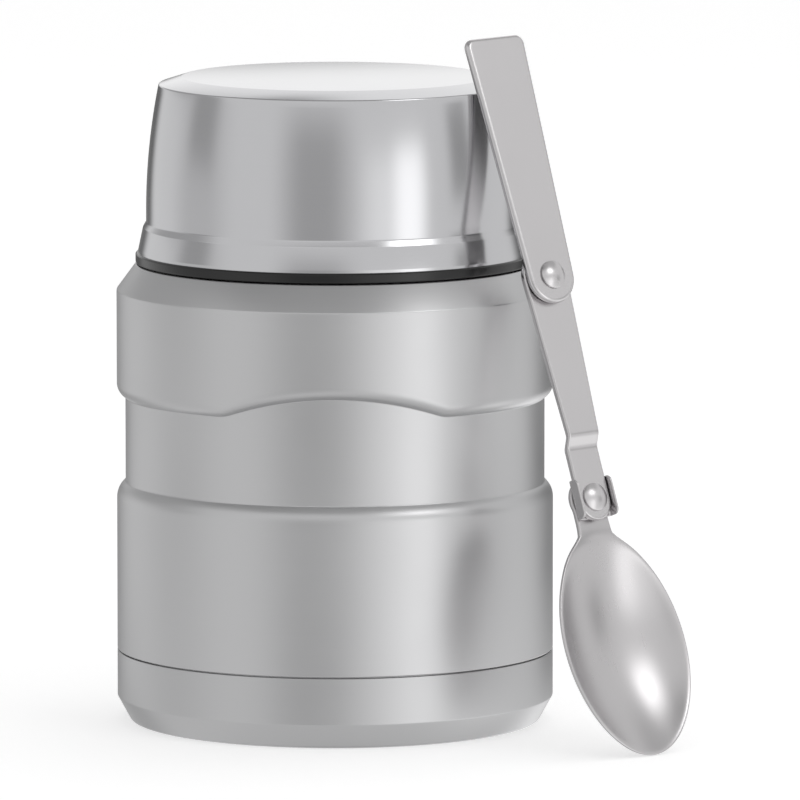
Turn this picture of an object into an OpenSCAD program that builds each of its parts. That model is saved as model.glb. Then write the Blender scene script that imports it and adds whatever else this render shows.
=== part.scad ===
// Vacuum food jar: double-walled steel jar, screw-in stopper, screw-on serving lid and a folding spoon.
// Millimetres, +Z up. The origin is the centre of the jar's base, where it stands. The front faces -Y.
// The folding spoon stands at the front right with its bowl's tip down and its handle against the lid.

/* [Jar body] */
// Diameter over the two wide bands
body_d = 94; // [90:0.5:98]
// How far the waist lies inside the bands
waist_depth = 1.85; // [1.2:0.05:2.6]
// Height of the base cup, up to the seam
base_h = 15.7; // [12:0.1:18]
// Height at which the lower band begins to round in to the waist
lower_band_z = 48.4; // [40:0.1:52]
// Height at which the upper band's rolled lip is at full width
upper_band_z = 73.2; // [68:0.1:80]
// Height at which the shoulder begins
shoulder_z = 93.4; // [90:0.1:98]
// Height of the sloping shoulder
shoulder_h = 5.6; // [4:0.1:7]
// Width of the sloping shoulder
shoulder_w = 4.1; // [3:0.1:5]
// Radius of the lower band's rounded top
band_round = 4.4; // [3.5:0.1:6]
// Radius of the upper band's rolled lip
lip_roll = 3.2; // [2.7:0.1:4]
// Thickness of the outer sheet
shell_t = 0.6; // [0.4:0.05:0.8]

/* [Front arch] */
// Rise of the upper band's lip at the front
arch_rise = 4.5; // [2.5:0.1:6]
// Half of the angle that the arch spans
arch_angle = 30.8; // [24:0.2:36]

/* [Base] */
// Thickness of the base cup's sheet
base_t = 0.8; // [0.5:0.05:1]
// Height of the sloping edge at the foot
foot_h = 5.5; // [4:0.1:7]
// Width of the sloping edge at the foot
foot_w = 3; // [2:0.1:4]
// Radius where the sloping edge meets the ground
foot_round = 1.5; // [1.1:0.1:2.5]
// Width of the groove at the seam
seam_gap = 0.25; // [0.1:0.05:0.4]
// Inner radius of the stamped ring under the base
bead_r = 30; // [24:0.5:32]
// Width of the stamped ring under the base
bead_w = 6; // [4:0.5:8]
// Depth of the stamped ring under the base
bead_h = 1.2; // [0.6:0.1:1.6]

/* [Inner vessel] */
// Evacuated space between the outer sheet and the vessel, at the waist
vacuum_gap = 2.45; // [2:0.05:4]
// Inner diameter of the mouth
mouth_d = 68.8; // [66:0.2:70]
// Thickness of the vessel's sheet
vessel_t = 0.5; // [0.3:0.05:0.7]
// Height of the vessel's floor
floor_z = 12; // [11.4:0.1:14]
// Radius round the vessel's floor
floor_round = 9; // [6:0.5:14]
// Height of the neck above the shoulder
neck_h = 14.2; // [12:0.1:16]
// Space between the vessel's neck and the shell's neck
neck_gap = 1.1; // [0.8:0.1:1.4]

/* [Vacuum bottom] */
// Height of the vacuum bottom's plate
vacuum_z = 7.2; // [5.5:0.1:8]
// Thickness of the vacuum bottom's sheet
vacuum_t = 0.8; // [0.5:0.05:1]
// Radius of the evacuation dimple
dimple_r = 6; // [5:0.5:9]
// Radius of the evacuation hole
hole_r = 1.5; // [1:0.1:2]
// Radius of the getter
getter_r = 5; // [4:0.5:7]
// Height of the getter
getter_h = 1.6; // [1:0.1:2]
// Distance of the getter from the axis
getter_x = 20; // [14:1:28]

/* [Stopper] */
// Height of the stopper's flange
flange_h = 2.6; // [2:0.1:3.4]
// Height of the stopper's cap above the flange
cap_h = 14; // [13:0.1:15]
// How far the cap lies inside the flange
cap_inset = 2; // [1.6:0.1:2.8]
// Depth to which the plug reaches below the rim
plug_h = 18; // [15:0.2:22]
// Wall of the plug
plug_t = 1.8; // [1.4:0.1:2.4]
// Room for the thread between the plug and the mouth
thread_room = 1; // [0.8:0.1:1.4]
// Height of the gasket
gasket_h = 3; // [2.4:0.1:4]
// Depth of the gasket's groove
gasket_depth = 1.5; // [1:0.1:1.7]
// Room round the folded spoon in its recess
recess_gap = 1.2; // [0.8:0.1:1.5]
// Depth of the recess
recess_h = 12.4; // [10:0.1:12.8]
// Number of grip hollows round the cap
grips = 20; // [12:2:28]
// Radius of each grip hollow
grip_r = 3; // [2:0.1:4]

/* [Lid] */
// How far the skirt's lower edge stands out from the jar's neck
skirt_out = 5.7; // [5.2:0.1:6.2]
// How far the wall above the skirt lies inside the skirt's lower edge
wall_step = 1.7; // [1.2:0.05:2.2]
// How far the wall curves in from the skirt to its top
wall_taper = 2.75; // [1.5:0.05:4]
// Height of the lid's steel, skirt and wall together
lid_h = 37.9; // [36:0.1:40]
// Height of the skirt
skirt_h = 6.7; // [5:0.1:8]
// Width of the bevel round the top
bevel_w = 5; // [4:0.1:6.5]
// Height of the bevel round the top
bevel_h = 1.6; // [1:0.1:2.2]
// Height of the black ring
trim_h = 2.2; // [1.6:0.1:3]
// How far the black ring stands out beyond the skirt
trim_out = 0.6; // [0.3:0.05:1]
// Thickness of the lid's sheet
lid_t = 0.6; // [0.4:0.05:0.8]
// Wall of the liner
liner_t = 1.4; // [1.1:0.05:1.7]
// Air between the lid's wall and the liner
lid_air = 1; // [0.8:0.05:1.3]
// Air between the lid's top and the liner
lid_roof_air = 2.6; // [2:0.1:3.2]

/* [Spoon] */
// Distance between the two rivets
link_l = 48; // [45:0.5:50]
// Length of the handle above its rivet
handle_l = 52.8; // [50:0.1:56]
// Distance from the lower rivet to the bowl's tip
bowl_reach = 56.6; // [53:0.1:57]
// Width of the handle at its end
handle_w = 15.6; // [13:0.1:17]
// Width of the handle and of the link round the upper rivet
hinge_w = 12; // [10.8:0.1:13]
// Width of the link at its lower end
tab_w = 8.2; // [7.4:0.1:9]
// Thickness of the handle
handle_t = 1.8; // [1.4:0.1:2.2]
// Thickness of the link
link_t = 1.5; // [1.2:0.1:1.7]
// How far the link's lower end is set back
joggle = 1.7; // [1.5:0.1:2.2]
// Width of the bowl
bowl_w = 32.4; // [31:0.2:35]
// Length of the bowl
bowl_l = 49; // [45:0.2:49.4]
// Depth of the bowl inside
bowl_h = 5.1; // [4.6:0.1:5.4]
// Thickness of the bowl
bowl_t = 0.9; // [0.7:0.05:1.2]
// Thickness of the bowl's flat tang
tang_t = 1.2; // [1:0.1:1.4]
// How far the bowl's tip stands forward of its neck
tip_forward = 1.8; // [1:0.1:2]
// Thickness of the saddle's sheet
saddle_t = 0.45; // [0.4:0.05:0.6]
// Length of the saddle's ears along the spoon
ear_l = 8.6; // [7:0.1:9.6]
// Height of the saddle's ears, from its plate
ear_h = 3.2; // [2.6:0.1:3.4]
// Radius of the rivets' shanks
rivet_r = 1.6; // [1.3:0.1:2]
// Radius of the rivets' domed heads
head_r = 3; // [2.6:0.1:3.3]
// Height of the rivets' domed heads
head_h = 1.3; // [1:0.1:1.5]
// Thickness of the two washers
washer_t = 0.3; // [0.2:0.05:0.4]

/* [Standing spoon] */
// Direction that the spoon's face looks in, turned from straight ahead
spoon_turn = 38; // [30:1:45]
// Sideways tilt of the spoon against the lid
spoon_tilt = 1.6; // [0:0.1:5]
// How far the bowl's tip stands out beyond the jar's side, along the way the face looks
foot_room = 37.4; // [37:0.1:45]
// Distance of the bowl's tip from the jar's axis, across the way the face looks
foot_side = 20.6; // [20:0.1:28]

/* [Fits] */
// Clearance between the stopper, the lid and what they sit on
seat_gap = 0.2; // [0.1:0.05:0.4]
// Clearance between fixed pieces that slip into each other
slip_gap = 0.1; // [0.05:0.05:0.2]
// Clearance between the handle and the lid that it leans on
lean_gap = 0.3; // [0.2:0.05:0.5]
// Height of the bowl's tip above the ground
foot_gap = 0.1; // [0.05:0.05:0.3]
// Running clearance round the rivets
run_gap = 0.05; // [0.03:0.01:0.1]

/* [Hidden] */
$fn = 96;
FIT = 0.01;

body_r = body_d / 2;
waist_r = body_r - waist_depth;
deck_z = shoulder_z + shoulder_h;
deck_r = body_r - shoulder_w;
rim_z = deck_z + neck_h;
vessel_r = waist_r - shell_t - vacuum_gap - vessel_t;
mouth_r = mouth_d / 2;
neck_r = mouth_r + vessel_t + neck_gap + shell_t;
skirt_r = body_r - base_t - slip_gap;
skirt_z = vacuum_z + vacuum_t + 1;
vacuum_rim_h = 3;
dimple_h = 1.2;
plug_bead_r = dimple_r - 1;

// Arch: its edge lies in a plane that tilts forward, in which it is a circle arc
arch_mid_r = (body_r + waist_r) / 2;
arch_sag = arch_mid_r * (1 - cos(arch_angle));
arch_tilt = atan2(arch_rise, arch_sag);
arch_half = arch_mid_r * sin(arch_angle);
arch_r = sag_radius(norm([arch_rise, arch_sag]), arch_half);
arch_centre = [arch_mid_r, upper_band_z + arch_rise] - arch_r * [cos(arch_tilt), sin(arch_tilt)];
arch_sector = asin(arch_half / arch_r) + 10;
arch_low_z = upper_band_z - lip_roll - 6;
core_top_z = upper_band_z + arch_rise + 4;
// Angle from upright at which the arch's roll starts, and how far it runs on into the waist
lip_start = 12;
lip_over = 4;

seat_z = rim_z + seat_gap;
flange_z = seat_z + flange_h;
cap_z = flange_z + cap_h;
plug_r = mouth_r - thread_room;
plug_z = rim_z - plug_h;
flange_r = neck_r - 0.2;
cap_r = flange_r - cap_inset;
gasket_z = plug_z + 2.2;
lip_gap = 0.3;
cap_round = 1.6;
grip_depth = 0.9;
slot_rise = 3.6;

trim_z = deck_z + seat_gap;
lid_z = trim_z + trim_h;
lid_top_z = lid_z + lid_h;
lid_rim_z = lid_top_z - bevel_h;
crease_z = lid_z + skirt_h;
roof_z = lid_top_z - lid_t - lid_roof_air;
lid_r = neck_r + skirt_out;
lid_wall_r = lid_r - wall_step;
lid_rim_r = lid_wall_r - wall_taper;
trim_r = lid_r + trim_out;
skirt_step = 0.7;
skirt_bore_r = neck_r + thread_room + 0.2;
liner_round = 5;

// Depth layers of the folding spoon: y in its own frame, in which its face looks along -Y,
// its length is along Z, the lower rivet is at z = 0 and the link's front is at y = 0.
tab_y = joggle;
saddle_y = tab_y + link_t;
tang_y = saddle_y + saddle_t + washer_t + run_gap;
handle_y = -washer_t - run_gap - handle_t;
tip_y = tang_y - tip_forward;
joggle_z = head_r + 8;
joggle_rise = 2.5;
tab_drop = 0.8;
tang_r = tab_w / 2 + 0.5;
flare_r = 3;
handle_corner = 2;
ear_gap = 0.2;
ear_round = 1.4;
back_head_h = 0.6;

// The folded spoon's outline in the stopper's recess: bowl over link, and a slot round its hinges
recess_l = bowl_reach + tab_w / 2 + tab_drop + 2 * recess_gap;
recess_r = bowl_w / 2 + recess_gap;
slot_r = handle_w / 2 + recess_gap;
recess_far_x = recess_l / 2 - recess_r;
recess_near_x = recess_l / 2 - bowl_l - 2 * recess_gap + recess_r;

// Where the standing spoon meets the lid: up along the spoon from its tip, and across from the axis
foot_out = body_r + foot_room;
rest_up = sqrt(pow(lid_rim_r - foot_out, 2) + pow(lid_rim_z, 2));
rest_w = hinge_w + (handle_w - hinge_w) * (rest_up - bowl_reach - link_l) / handle_l;
rest_side = foot_side - rest_w / 2 - rest_up * sin(spoon_tilt);
rest_out = sqrt(pow(lid_rim_r, 2) - pow(rest_side, 2));
rest_reach = [rest_out - foot_out, lid_rim_z - foot_gap];
rest_step = tip_y - (handle_y + handle_t) - lean_gap;
spoon_lean = atan2(rest_reach[1], rest_reach[0]) - acos(rest_step / norm(rest_reach));

// Points along an arc round c, from angle a0 to angle a1
function arc(c, r, a0, a1, n = 6) =
    [for (i = [0:n]) c + r * [cos(a0 + (a1 - a0) * i / n), sin(a0 + (a1 - a0) * i / n)]];

// Radius of the arc that bends in by sag over a length that starts square to it
function sag_radius(sag, length) = (sag * sag + length * length) / (2 * sag);

// ---------------------------------------------------------------- jar body

// Each form of the jar's outside is drawn at an inset: 0 is the outer face, shell_t the inner one.

// Outside of the jar's lower half: inner skirt, lower band rounded in at its top, and waist
module lower_form(inset, below) {
    turn = acos((band_round - waist_depth - inset) / (band_round - inset));
    rotate_extrude()
        polygon(concat(
            [[0, skirt_z - below], [skirt_r - inset, skirt_z - below],
                [skirt_r - inset, base_h + inset], [body_r - inset, base_h + inset]],
            arc([body_r - band_round, lower_band_z], band_round - inset, 0, turn),
            [[waist_r - inset, core_top_z], [0, core_top_z]]
        ));
}

// Outside of the upper half: band with its rolled lip, shoulder, deck and neck, before the arch
module upper_form(inset, above) {
    turn = acos((lip_roll - waist_depth - inset) / (lip_roll - inset));
    lip = arc([body_r - lip_roll, upper_band_z], lip_roll - inset, -turn, 0);
    slope = atan2(shoulder_w, shoulder_h);
    rotate_extrude()
        polygon(concat(
            [[0, lip[0][1]]], lip,
            [[body_r - inset, shoulder_z - inset * tan(slope / 2)],
                [deck_r - inset * tan(45 - slope / 2), deck_z - inset],
                [neck_r - inset, deck_z - inset],
                [neck_r - inset, rim_z - vessel_t + above],
                [0, rim_z - vessel_t + above]]
        ));
}

// A point of the front meridian, [distance out, height], as seen from the arch's tilted axis
function from_arch_axis(p) =
    let (d = p - arch_centre)
    [d[0] * cos(arch_tilt) + d[1] * sin(arch_tilt), d[1] * cos(arch_tilt) - d[0] * sin(arch_tilt)];

// What the arch takes off the upper band: the rolled lip turned round an axis that leans forward,
// because the arch's edge lies in one tilted plane across the round body.
module arch_cut(inset) {
    lip_c = [body_r - lip_roll, upper_band_z + arch_rise];
    lip_r = lip_roll - inset;
    turn = acos((lip_roll - waist_depth - inset) / lip_r) + lip_over;
    lip = arc(lip_c, lip_r, -lip_start, -turn);
    run_out = lip[0] + 6 * [sin(lip_start), cos(lip_start)];
    inner = waist_r - 6;
    outline = concat([run_out], lip, [[inner, lip[len(lip) - 1][1]], [inner, arch_low_z],
        [run_out[0] + 2, arch_low_z]]);
    translate([0, -arch_centre[0], arch_centre[1]]) rotate([-arch_tilt, 0, 0])
        rotate_extrude(start = 270 - arch_sector, angle = 2 * arch_sector)
            polygon([for (p = outline) from_arch_axis(p)]);
}

module jar_form(inset, through) {
    lower_form(inset, through);
    difference() {
        upper_form(inset, through);
        arch_cut(inset);
    }
}

module outer_shell() color("lightgray")
    difference() {
        jar_form(0, 0);
        jar_form(shell_t, 2);
    }

// Base cup: flat foot with a stamped ring, sloping edge, and wall up to the seam
module base_form(inset, above) {
    slope = atan2(foot_w, foot_h);
    corner_r = body_r - (foot_h - foot_round) * tan(slope) - foot_round / cos(slope);
    rotate_extrude()
        polygon(concat(
            [[0, inset]], arc([corner_r, foot_round], foot_round - inset, -90, -slope, 6),
            [[body_r - inset, foot_h + inset * tan(slope / 2)],
                [body_r - inset, base_h - seam_gap + above], [0, base_h - seam_gap + above]]
        ));
}

module ring(r_in, r_out, z0, z1)
    translate([0, 0, z0]) difference() {
        cylinder(r = r_out, h = z1 - z0);
        translate([0, 0, -1]) cylinder(r = r_in, h = z1 - z0 + 2);
    }

module base_cup() color("silver")
    difference() {
        union() {
            difference() {
                base_form(0, 0);
                base_form(base_t, 2);
            }
            ring(bead_r - base_t, bead_r + bead_w + base_t, 0, bead_h + base_t);
        }
        ring(bead_r, bead_r + bead_w, -1, bead_h);
    }

// Inner vessel, drawn at a growth: 0 is the face that holds the food, vessel_t the outer one
module vessel_form(grow, above) {
    slope_h = vessel_r - mouth_r;
    top_z = deck_z - 1 + grow * tan(22.5);
    rotate_extrude()
        polygon(concat(
            [[0, floor_z - grow]],
            arc([vessel_r - floor_round, floor_z + floor_round], floor_round + grow, -90, 0, 8),
            [[vessel_r + grow, top_z - slope_h], [mouth_r + grow, top_z],
                [mouth_r + grow, rim_z + above], [0, rim_z + above]]
        ));
}

module inner_vessel() color("whitesmoke")
    difference() {
        union() {
            vessel_form(vessel_t, 0);
            ring(mouth_r, neck_r, rim_z - vessel_t, rim_z);
        }
        vessel_form(0, 1);
    }

// Vacuum bottom: plate with an upturned rim inside the shell's skirt, and a dimple round its hole
module vacuum_base() color("gainsboro") {
    plate_r = skirt_r - shell_t - slip_gap;
    plate_top = vacuum_z + vacuum_t;
    difference() {
        union() {
            translate([0, 0, vacuum_z]) cylinder(r = plate_r, h = vacuum_t);
            ring(plate_r - vacuum_t, plate_r, vacuum_z, skirt_z + vacuum_rim_h);
            translate([0, 0, vacuum_z]) cylinder(r = dimple_r + vacuum_t, h = dimple_h + vacuum_t);
        }
        translate([0, 0, vacuum_z - 1]) cylinder(r = dimple_r, h = dimple_h + 1);
        translate([0, 0, plate_top - 1]) cylinder(r = hole_r, h = dimple_h + 2);
    }
}

module seal_plug() color("dimgray")
    translate([0, 0, vacuum_z]) {
        cylinder(r = plug_bead_r, h = dimple_h);
        cylinder(r = hole_r - FIT, h = dimple_h + vacuum_t);
    }

module getter() color("gray")
    translate([getter_x, 0, vacuum_z + vacuum_t]) difference() {
        cylinder(r = getter_r, h = getter_h);
        translate([0, 0, getter_h / 2]) cylinder(r = getter_r - 1, h = getter_h);
    }

// ---------------------------------------------------------------- stopper

// Space inside the plug that the foam fills, narrower behind the gasket's groove
module plug_space(inset, above) {
    narrow_r = plug_r - gasket_depth - plug_t - inset;
    step_z = gasket_z + gasket_h + plug_t;
    rotate_extrude()
        polygon([
            [0, plug_z + plug_t + inset], [narrow_r, plug_z + plug_t + inset],
            [narrow_r, step_z + inset], [plug_r - plug_t - inset, step_z + gasket_depth + inset],
            [plug_r - plug_t - inset, flange_z + above], [0, flange_z + above]
        ]);
}

module stopper_plug() color("#2b2b2d")
    difference() {
        rotate_extrude()
            polygon([
                [0, plug_z], [plug_r - 1, plug_z], [plug_r, plug_z + 1], [plug_r, seat_z],
                [flange_r, seat_z], [flange_r, flange_z - 0.5], [flange_r - 0.5, flange_z],
                [0, flange_z]
            ]);
        plug_space(0, 1);
        ring(plug_r - gasket_depth, plug_r + 1, gasket_z, gasket_z + gasket_h);
    }

module stopper_foam() color("ivory") plug_space(slip_gap, -slip_gap);

// Gasket with two lips, in the plug's groove
module stopper_gasket() color("#d8d8d4") {
    in_r = plug_r - gasket_depth + FIT;
    out_r = mouth_r - lip_gap;
    h = gasket_h - 2 * FIT;
    translate([0, 0, gasket_z + FIT])
        rotate_extrude()
            polygon([
                [in_r, 0], [plug_r - 0.3, 0], [out_r, 0.15 * h], [out_r, 0.3 * h],
                [plug_r - 0.3, 0.5 * h], [out_r, 0.7 * h], [out_r, 0.85 * h],
                [plug_r - 0.3, h], [in_r, h]
            ]);
}

// Recess that takes the folded spoon: a long round pocket for the bowl and a slot for the hinges
module spoon_recess() {
    slot_x = slot_r - recess_l / 2;
    translate([0, 0, cap_z - recess_h]) {
        for (x = [recess_near_x, recess_far_x])
            translate([x, 0, 0]) cylinder(r = recess_r, h = recess_h + 1);
        translate([recess_near_x, -recess_r, 0])
            cube([recess_far_x - recess_near_x, 2 * recess_r, recess_h + 1]);
    }
    translate([0, 0, cap_z - recess_h + slot_rise]) {
        translate([slot_x, 0, 0]) cylinder(r = slot_r, h = recess_h);
        translate([slot_x, -slot_r, 0]) cube([recess_near_x - slot_x, 2 * slot_r, recess_h]);
    }
}

module stopper_cap() color("#232325")
    difference() {
        rotate_extrude()
            polygon(concat(
                [[0, flange_z], [cap_r - 0.8, flange_z], [cap_r, flange_z + 0.8]],
                arc([cap_r - cap_round, cap_z - cap_round], cap_round, 0, 90, 5),
                [[0, cap_z]]
            ));
        spoon_recess();
        for (i = [0:grips - 1])
            rotate([0, 0, 360 * (i + 0.5) / grips])
                translate([cap_r + grip_r - grip_depth, 0, flange_z + 2])
                    cylinder(r = grip_r, h = cap_h);
    }

// ---------------------------------------------------------------- lid

// Outside of the lid: flared skirt, crease, wall that curves in, bevel and flat top
module lid_form(inset, below) {
    wall_z = crease_z + 2;
    wall_arc = sag_radius(lid_wall_r - lid_rim_r, lid_rim_z - wall_z);
    wall = arc([lid_wall_r - wall_arc, wall_z], wall_arc - inset, 0,
        asin((lid_rim_z - 0.8 * inset - wall_z) / (wall_arc - inset)), 8);
    rotate_extrude()
        polygon(concat(
            [[0, lid_z - below], [lid_r - inset, lid_z - below], [lid_r - inset, lid_z + 0.6],
                [lid_wall_r + skirt_step - inset, crease_z - 1.3], [lid_wall_r - inset, crease_z]],
            wall,
            [[lid_rim_r - bevel_w, lid_top_z - inset], [0, lid_top_z - inset]]
        ));
}

module lid_shell() color("lightgray")
    difference() {
        lid_form(0, 0);
        lid_form(lid_t, 1);
    }

// Liner: thick skirt that turns on the neck, wall that follows the lid, and round-cornered roof
module liner_form(inset, skirt_in, below) {
    wall_z = crease_z + 2;
    wall_arc = sag_radius(lid_wall_r - lid_rim_r, lid_rim_z - wall_z);
    wall_in = lid_t + lid_air + inset;
    corner = liner_round - inset;
    corner_r = lid_wall_r - wall_arc - corner
        + sqrt(pow(wall_arc - wall_in, 2) - pow(roof_z - liner_round - wall_z, 2));
    wall = arc([lid_wall_r - wall_arc, wall_z], wall_arc - wall_in, 0,
        asin((roof_z - liner_round - wall_z) / (wall_arc - wall_in)), 6);
    rotate_extrude()
        polygon(concat(
            [[0, lid_z - below], [skirt_in, lid_z - below], [skirt_in, crease_z - 1.6]],
            wall,
            arc([corner_r, roof_z - liner_round], corner, 15, 90, 6),
            [[0, roof_z - inset]]
        ));
}

module lid_liner() color("#333335")
    difference() {
        liner_form(0, lid_wall_r + skirt_step - lid_t - slip_gap, 0);
        liner_form(liner_t, skirt_bore_r, 1);
    }

module lid_trim() color("#1c1c1e")
    rotate_extrude()
        polygon([
            [skirt_bore_r, trim_z], [trim_r - 0.4, trim_z], [trim_r, trim_z + 0.4],
            [trim_r, lid_z - 0.3], [trim_r - 0.3, lid_z], [skirt_bore_r, lid_z]
        ]);

// ---------------------------------------------------------------- folding spoon

// Flat sheet cut to an outline in x and z, between two depths
module sheet(y0, y1)
    translate([0, y1, 0]) rotate([90, 0, 0]) linear_extrude(y1 - y0) children();

// Round bar or bore along the depth, at a height up the spoon
module across(r, y0, y1, z = 0)
    translate([0, y1, z]) rotate([90, 0, 0]) cylinder(r = r, h = y1 - y0);

// Puts a piece of the folding spoon where the spoon stands
module standing()
    translate([foot_out * sin(spoon_turn) + foot_side * cos(spoon_turn),
        foot_side * sin(spoon_turn) - foot_out * cos(spoon_turn), foot_gap])
        rotate([0, 0, spoon_turn]) rotate([-spoon_lean, 0, 0]) rotate([0, -spoon_tilt, 0])
            translate([0, -tip_y, bowl_reach]) children();

module spoon_handle() color("silver") standing() {
    top = link_l + handle_l;
    corner_x = handle_w / 2 - handle_corner;
    difference() {
        sheet(handle_y, handle_y + handle_t)
            polygon(concat(
                arc([0, link_l], hinge_w / 2, 180, 360, 20),
                arc([corner_x, top - handle_corner], handle_corner, 0, 90),
                arc([-corner_x, top - handle_corner], handle_corner, 90, 180)
            ));
        across(rivet_r + run_gap, handle_y - 1, 1, link_l);
    }
}

// Link: tapered strip whose lower end is set back, so that the bowl can fold up behind it
module spoon_link() color("silver") standing() {
    end_r = hinge_w / 2 - 0.2;
    back = link_t * tan(atan2(joggle, joggle_rise) / 2);
    high = joggle_z + joggle_rise;
    top = link_l + hinge_w;
    low = -tab_w;
    difference() {
        intersection() {
            sheet(-1, joggle + link_t + 1)
                polygon(concat(
                    arc([0, -tab_drop], tab_w / 2, 180, 360, 16),
                    [[tab_w / 2, high]],
                    arc([0, link_l], end_r, 0, 180, 16),
                    [[-tab_w / 2, high]]
                ));
            translate([-hinge_w, 0, 0]) rotate([90, 0, 90])
                linear_extrude(2 * hinge_w)
                    polygon([
                        [0, top], [0, high], [joggle, joggle_z], [joggle, low],
                        [joggle + link_t, low], [joggle + link_t, joggle_z - back],
                        [link_t, high - back], [link_t, top]
                    ]);
        }
        across(rivet_r + FIT, -1, link_t + 1, link_l);
        across(rivet_r + FIT, joggle - 1, joggle + link_t + 1);
    }
}

// Saddle: plate behind the link's lower end, with an ear at each side of it
module hinge_saddle() color("silver") standing() {
    in_w = tab_w / 2 + ear_gap;
    out_w = in_w + saddle_t;
    back_y = saddle_y + saddle_t;
    front_y = back_y - ear_h;
    half_l = ear_l / 2;
    difference() {
        intersection() {
            translate([0, 0, -half_l]) linear_extrude(ear_l) difference() {
                translate([-out_w, front_y]) square([2 * out_w, ear_h]);
                translate([-in_w, front_y - 1]) square([2 * in_w, ear_h + 1 - saddle_t]);
            }
            translate([-out_w - 1, 0, 0]) rotate([90, 0, 90]) linear_extrude(2 * out_w + 2)
                polygon(concat(
                    [[back_y + 1, half_l + 1]],
                    arc([front_y + ear_round, half_l - ear_round], ear_round, 90, 180),
                    arc([front_y + ear_round, ear_round - half_l], ear_round, 180, 270),
                    [[back_y + 1, -half_l - 1]]
                ));
        }
        across(rivet_r + FIT, saddle_y - 1, back_y + 1);
    }
}

// Bowl's surface: an arc along the spoon turned about a line in front of it, which makes the bowl
// round across and round along, with an oval where the flat rim cuts it.
module bowl_form(inset) {
    half_w = bowl_w / 2;
    depth = bowl_h + bowl_t;
    axis_out = (half_w * half_w / depth - depth) / 2;
    long_arc = sag_radius(depth, bowl_l / 2);
    bowl_turn = asin((bowl_l / 2 + 1) / long_arc);
    translate([0, -axis_out, 0])
        rotate_extrude(start = 30, angle = 120)
            polygon(concat(
                [[axis_out - 3, -bowl_l / 2 - 1]],
                arc([axis_out + depth - long_arc, 0], long_arc - inset, -bowl_turn, bowl_turn, 24),
                [[axis_out - 3, bowl_l / 2 + 1]]
            ));
}

module bowl_place()
    translate([0, tang_y, bowl_l - bowl_reach]) rotate([-asin(tip_forward / bowl_l), 0, 0])
        translate([0, 0, -bowl_l / 2]) children();

module spoon_bowl() color("silver") standing() {
    neck = tab_w / 2 + 0.1;
    flare_c = [neck + flare_r, -tang_r - 0.6];
    flare = arc(flare_c, flare_r, 180, 250);
    low = bowl_l - bowl_reach - 3;
    difference() {
        union() {
            bowl_place() intersection() {
                bowl_form(0);
                translate([-bowl_w, 0, -bowl_l]) cube([2 * bowl_w, bowl_w, 2 * bowl_l]);
            }
            sheet(tang_y, tang_y + tang_t)
                polygon(concat(
                    arc([0, 0], tang_r, 0, 180, 20),
                    [for (p = flare) [-p[0], p[1]]],
                    [[-neck - 2, low], [neck + 2, low]],
                    [for (i = [len(flare) - 1:-1:0]) flare[i]]
                ));
        }
        bowl_place() bowl_form(bowl_t);
        across(rivet_r + run_gap, tang_y - 1, tang_y + tang_t + 1);
    }
}

// Domed head on a short round foot, standing up from z = 0
module dome(r, h) {
    foot = 0.3 * h;
    curve = sag_radius(h - foot, r);
    rotate_extrude()
        polygon(concat(
            [[0, 0], [r, 0]],
            arc([0, h - curve], curve, asin((foot + curve - h) / curve), 90, 6)
        ));
}

// Rivet with its dome in front and a flatter formed head behind
module rivet(front_y, back_y, z) standing() {
    translate([0, front_y, z]) rotate([90, 0, 0]) dome(head_r, head_h);
    across(rivet_r, front_y, back_y, z);
    translate([0, back_y, z]) rotate([-90, 0, 0]) dome(head_r - 0.4, back_head_h);
}

module handle_rivet() color("lightgray") rivet(handle_y - run_gap, link_t, link_l);

module bowl_rivet() color("lightgray") rivet(tab_y, tang_y + tang_t + run_gap, 0);

module washer(r, y0, z) standing()
    difference() {
        across(r, y0, y0 + washer_t, z);
        across(rivet_r + FIT, y0 - 1, y0 + washer_t + 1, z);
    }

module handle_washer() color("gray") washer(hinge_w / 2 - 1, -washer_t, link_l);

module bowl_washer() color("gray") washer(tab_w / 2, saddle_y + saddle_t, 0);

outer_shell();
base_cup();
inner_vessel();
vacuum_base();
seal_plug();
getter();
stopper_plug();
stopper_cap();
stopper_foam();
stopper_gasket();
lid_shell();
lid_liner();
lid_trim();
spoon_link();
spoon_handle();
spoon_bowl();
hinge_saddle();
handle_rivet();
bowl_rivet();
handle_washer();
bowl_washer();
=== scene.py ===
"""Insulated food jar with a folding spoon: the visible pieces, their finishes and a plain studio."""

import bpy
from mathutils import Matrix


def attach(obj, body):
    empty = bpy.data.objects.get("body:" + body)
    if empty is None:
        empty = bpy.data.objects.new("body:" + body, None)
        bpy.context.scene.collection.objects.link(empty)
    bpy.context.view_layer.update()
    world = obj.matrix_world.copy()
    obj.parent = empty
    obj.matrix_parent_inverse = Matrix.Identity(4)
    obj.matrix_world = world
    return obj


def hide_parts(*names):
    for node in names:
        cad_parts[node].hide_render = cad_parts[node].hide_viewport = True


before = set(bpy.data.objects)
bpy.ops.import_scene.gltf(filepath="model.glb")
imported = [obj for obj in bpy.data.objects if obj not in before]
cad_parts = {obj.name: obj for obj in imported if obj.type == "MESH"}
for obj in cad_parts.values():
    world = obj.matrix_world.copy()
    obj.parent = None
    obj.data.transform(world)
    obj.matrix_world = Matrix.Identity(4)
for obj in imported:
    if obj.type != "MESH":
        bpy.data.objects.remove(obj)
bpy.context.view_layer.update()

import math
from types import SimpleNamespace

import bmesh
import bpy
import numpy as np
from mathutils import Matrix, Vector

bl_info = {
    "name": "Insulated Food Jar",
    "version": (1, 0, 0),
    "blender": (4, 5, 0),
    "location": "3D View > Sidebar > Food Jar",
    "description": "Makes a vacuum food jar with a screw-on lid, a stopper and a folding spoon",
    "category": "Add Mesh",
}

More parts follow.
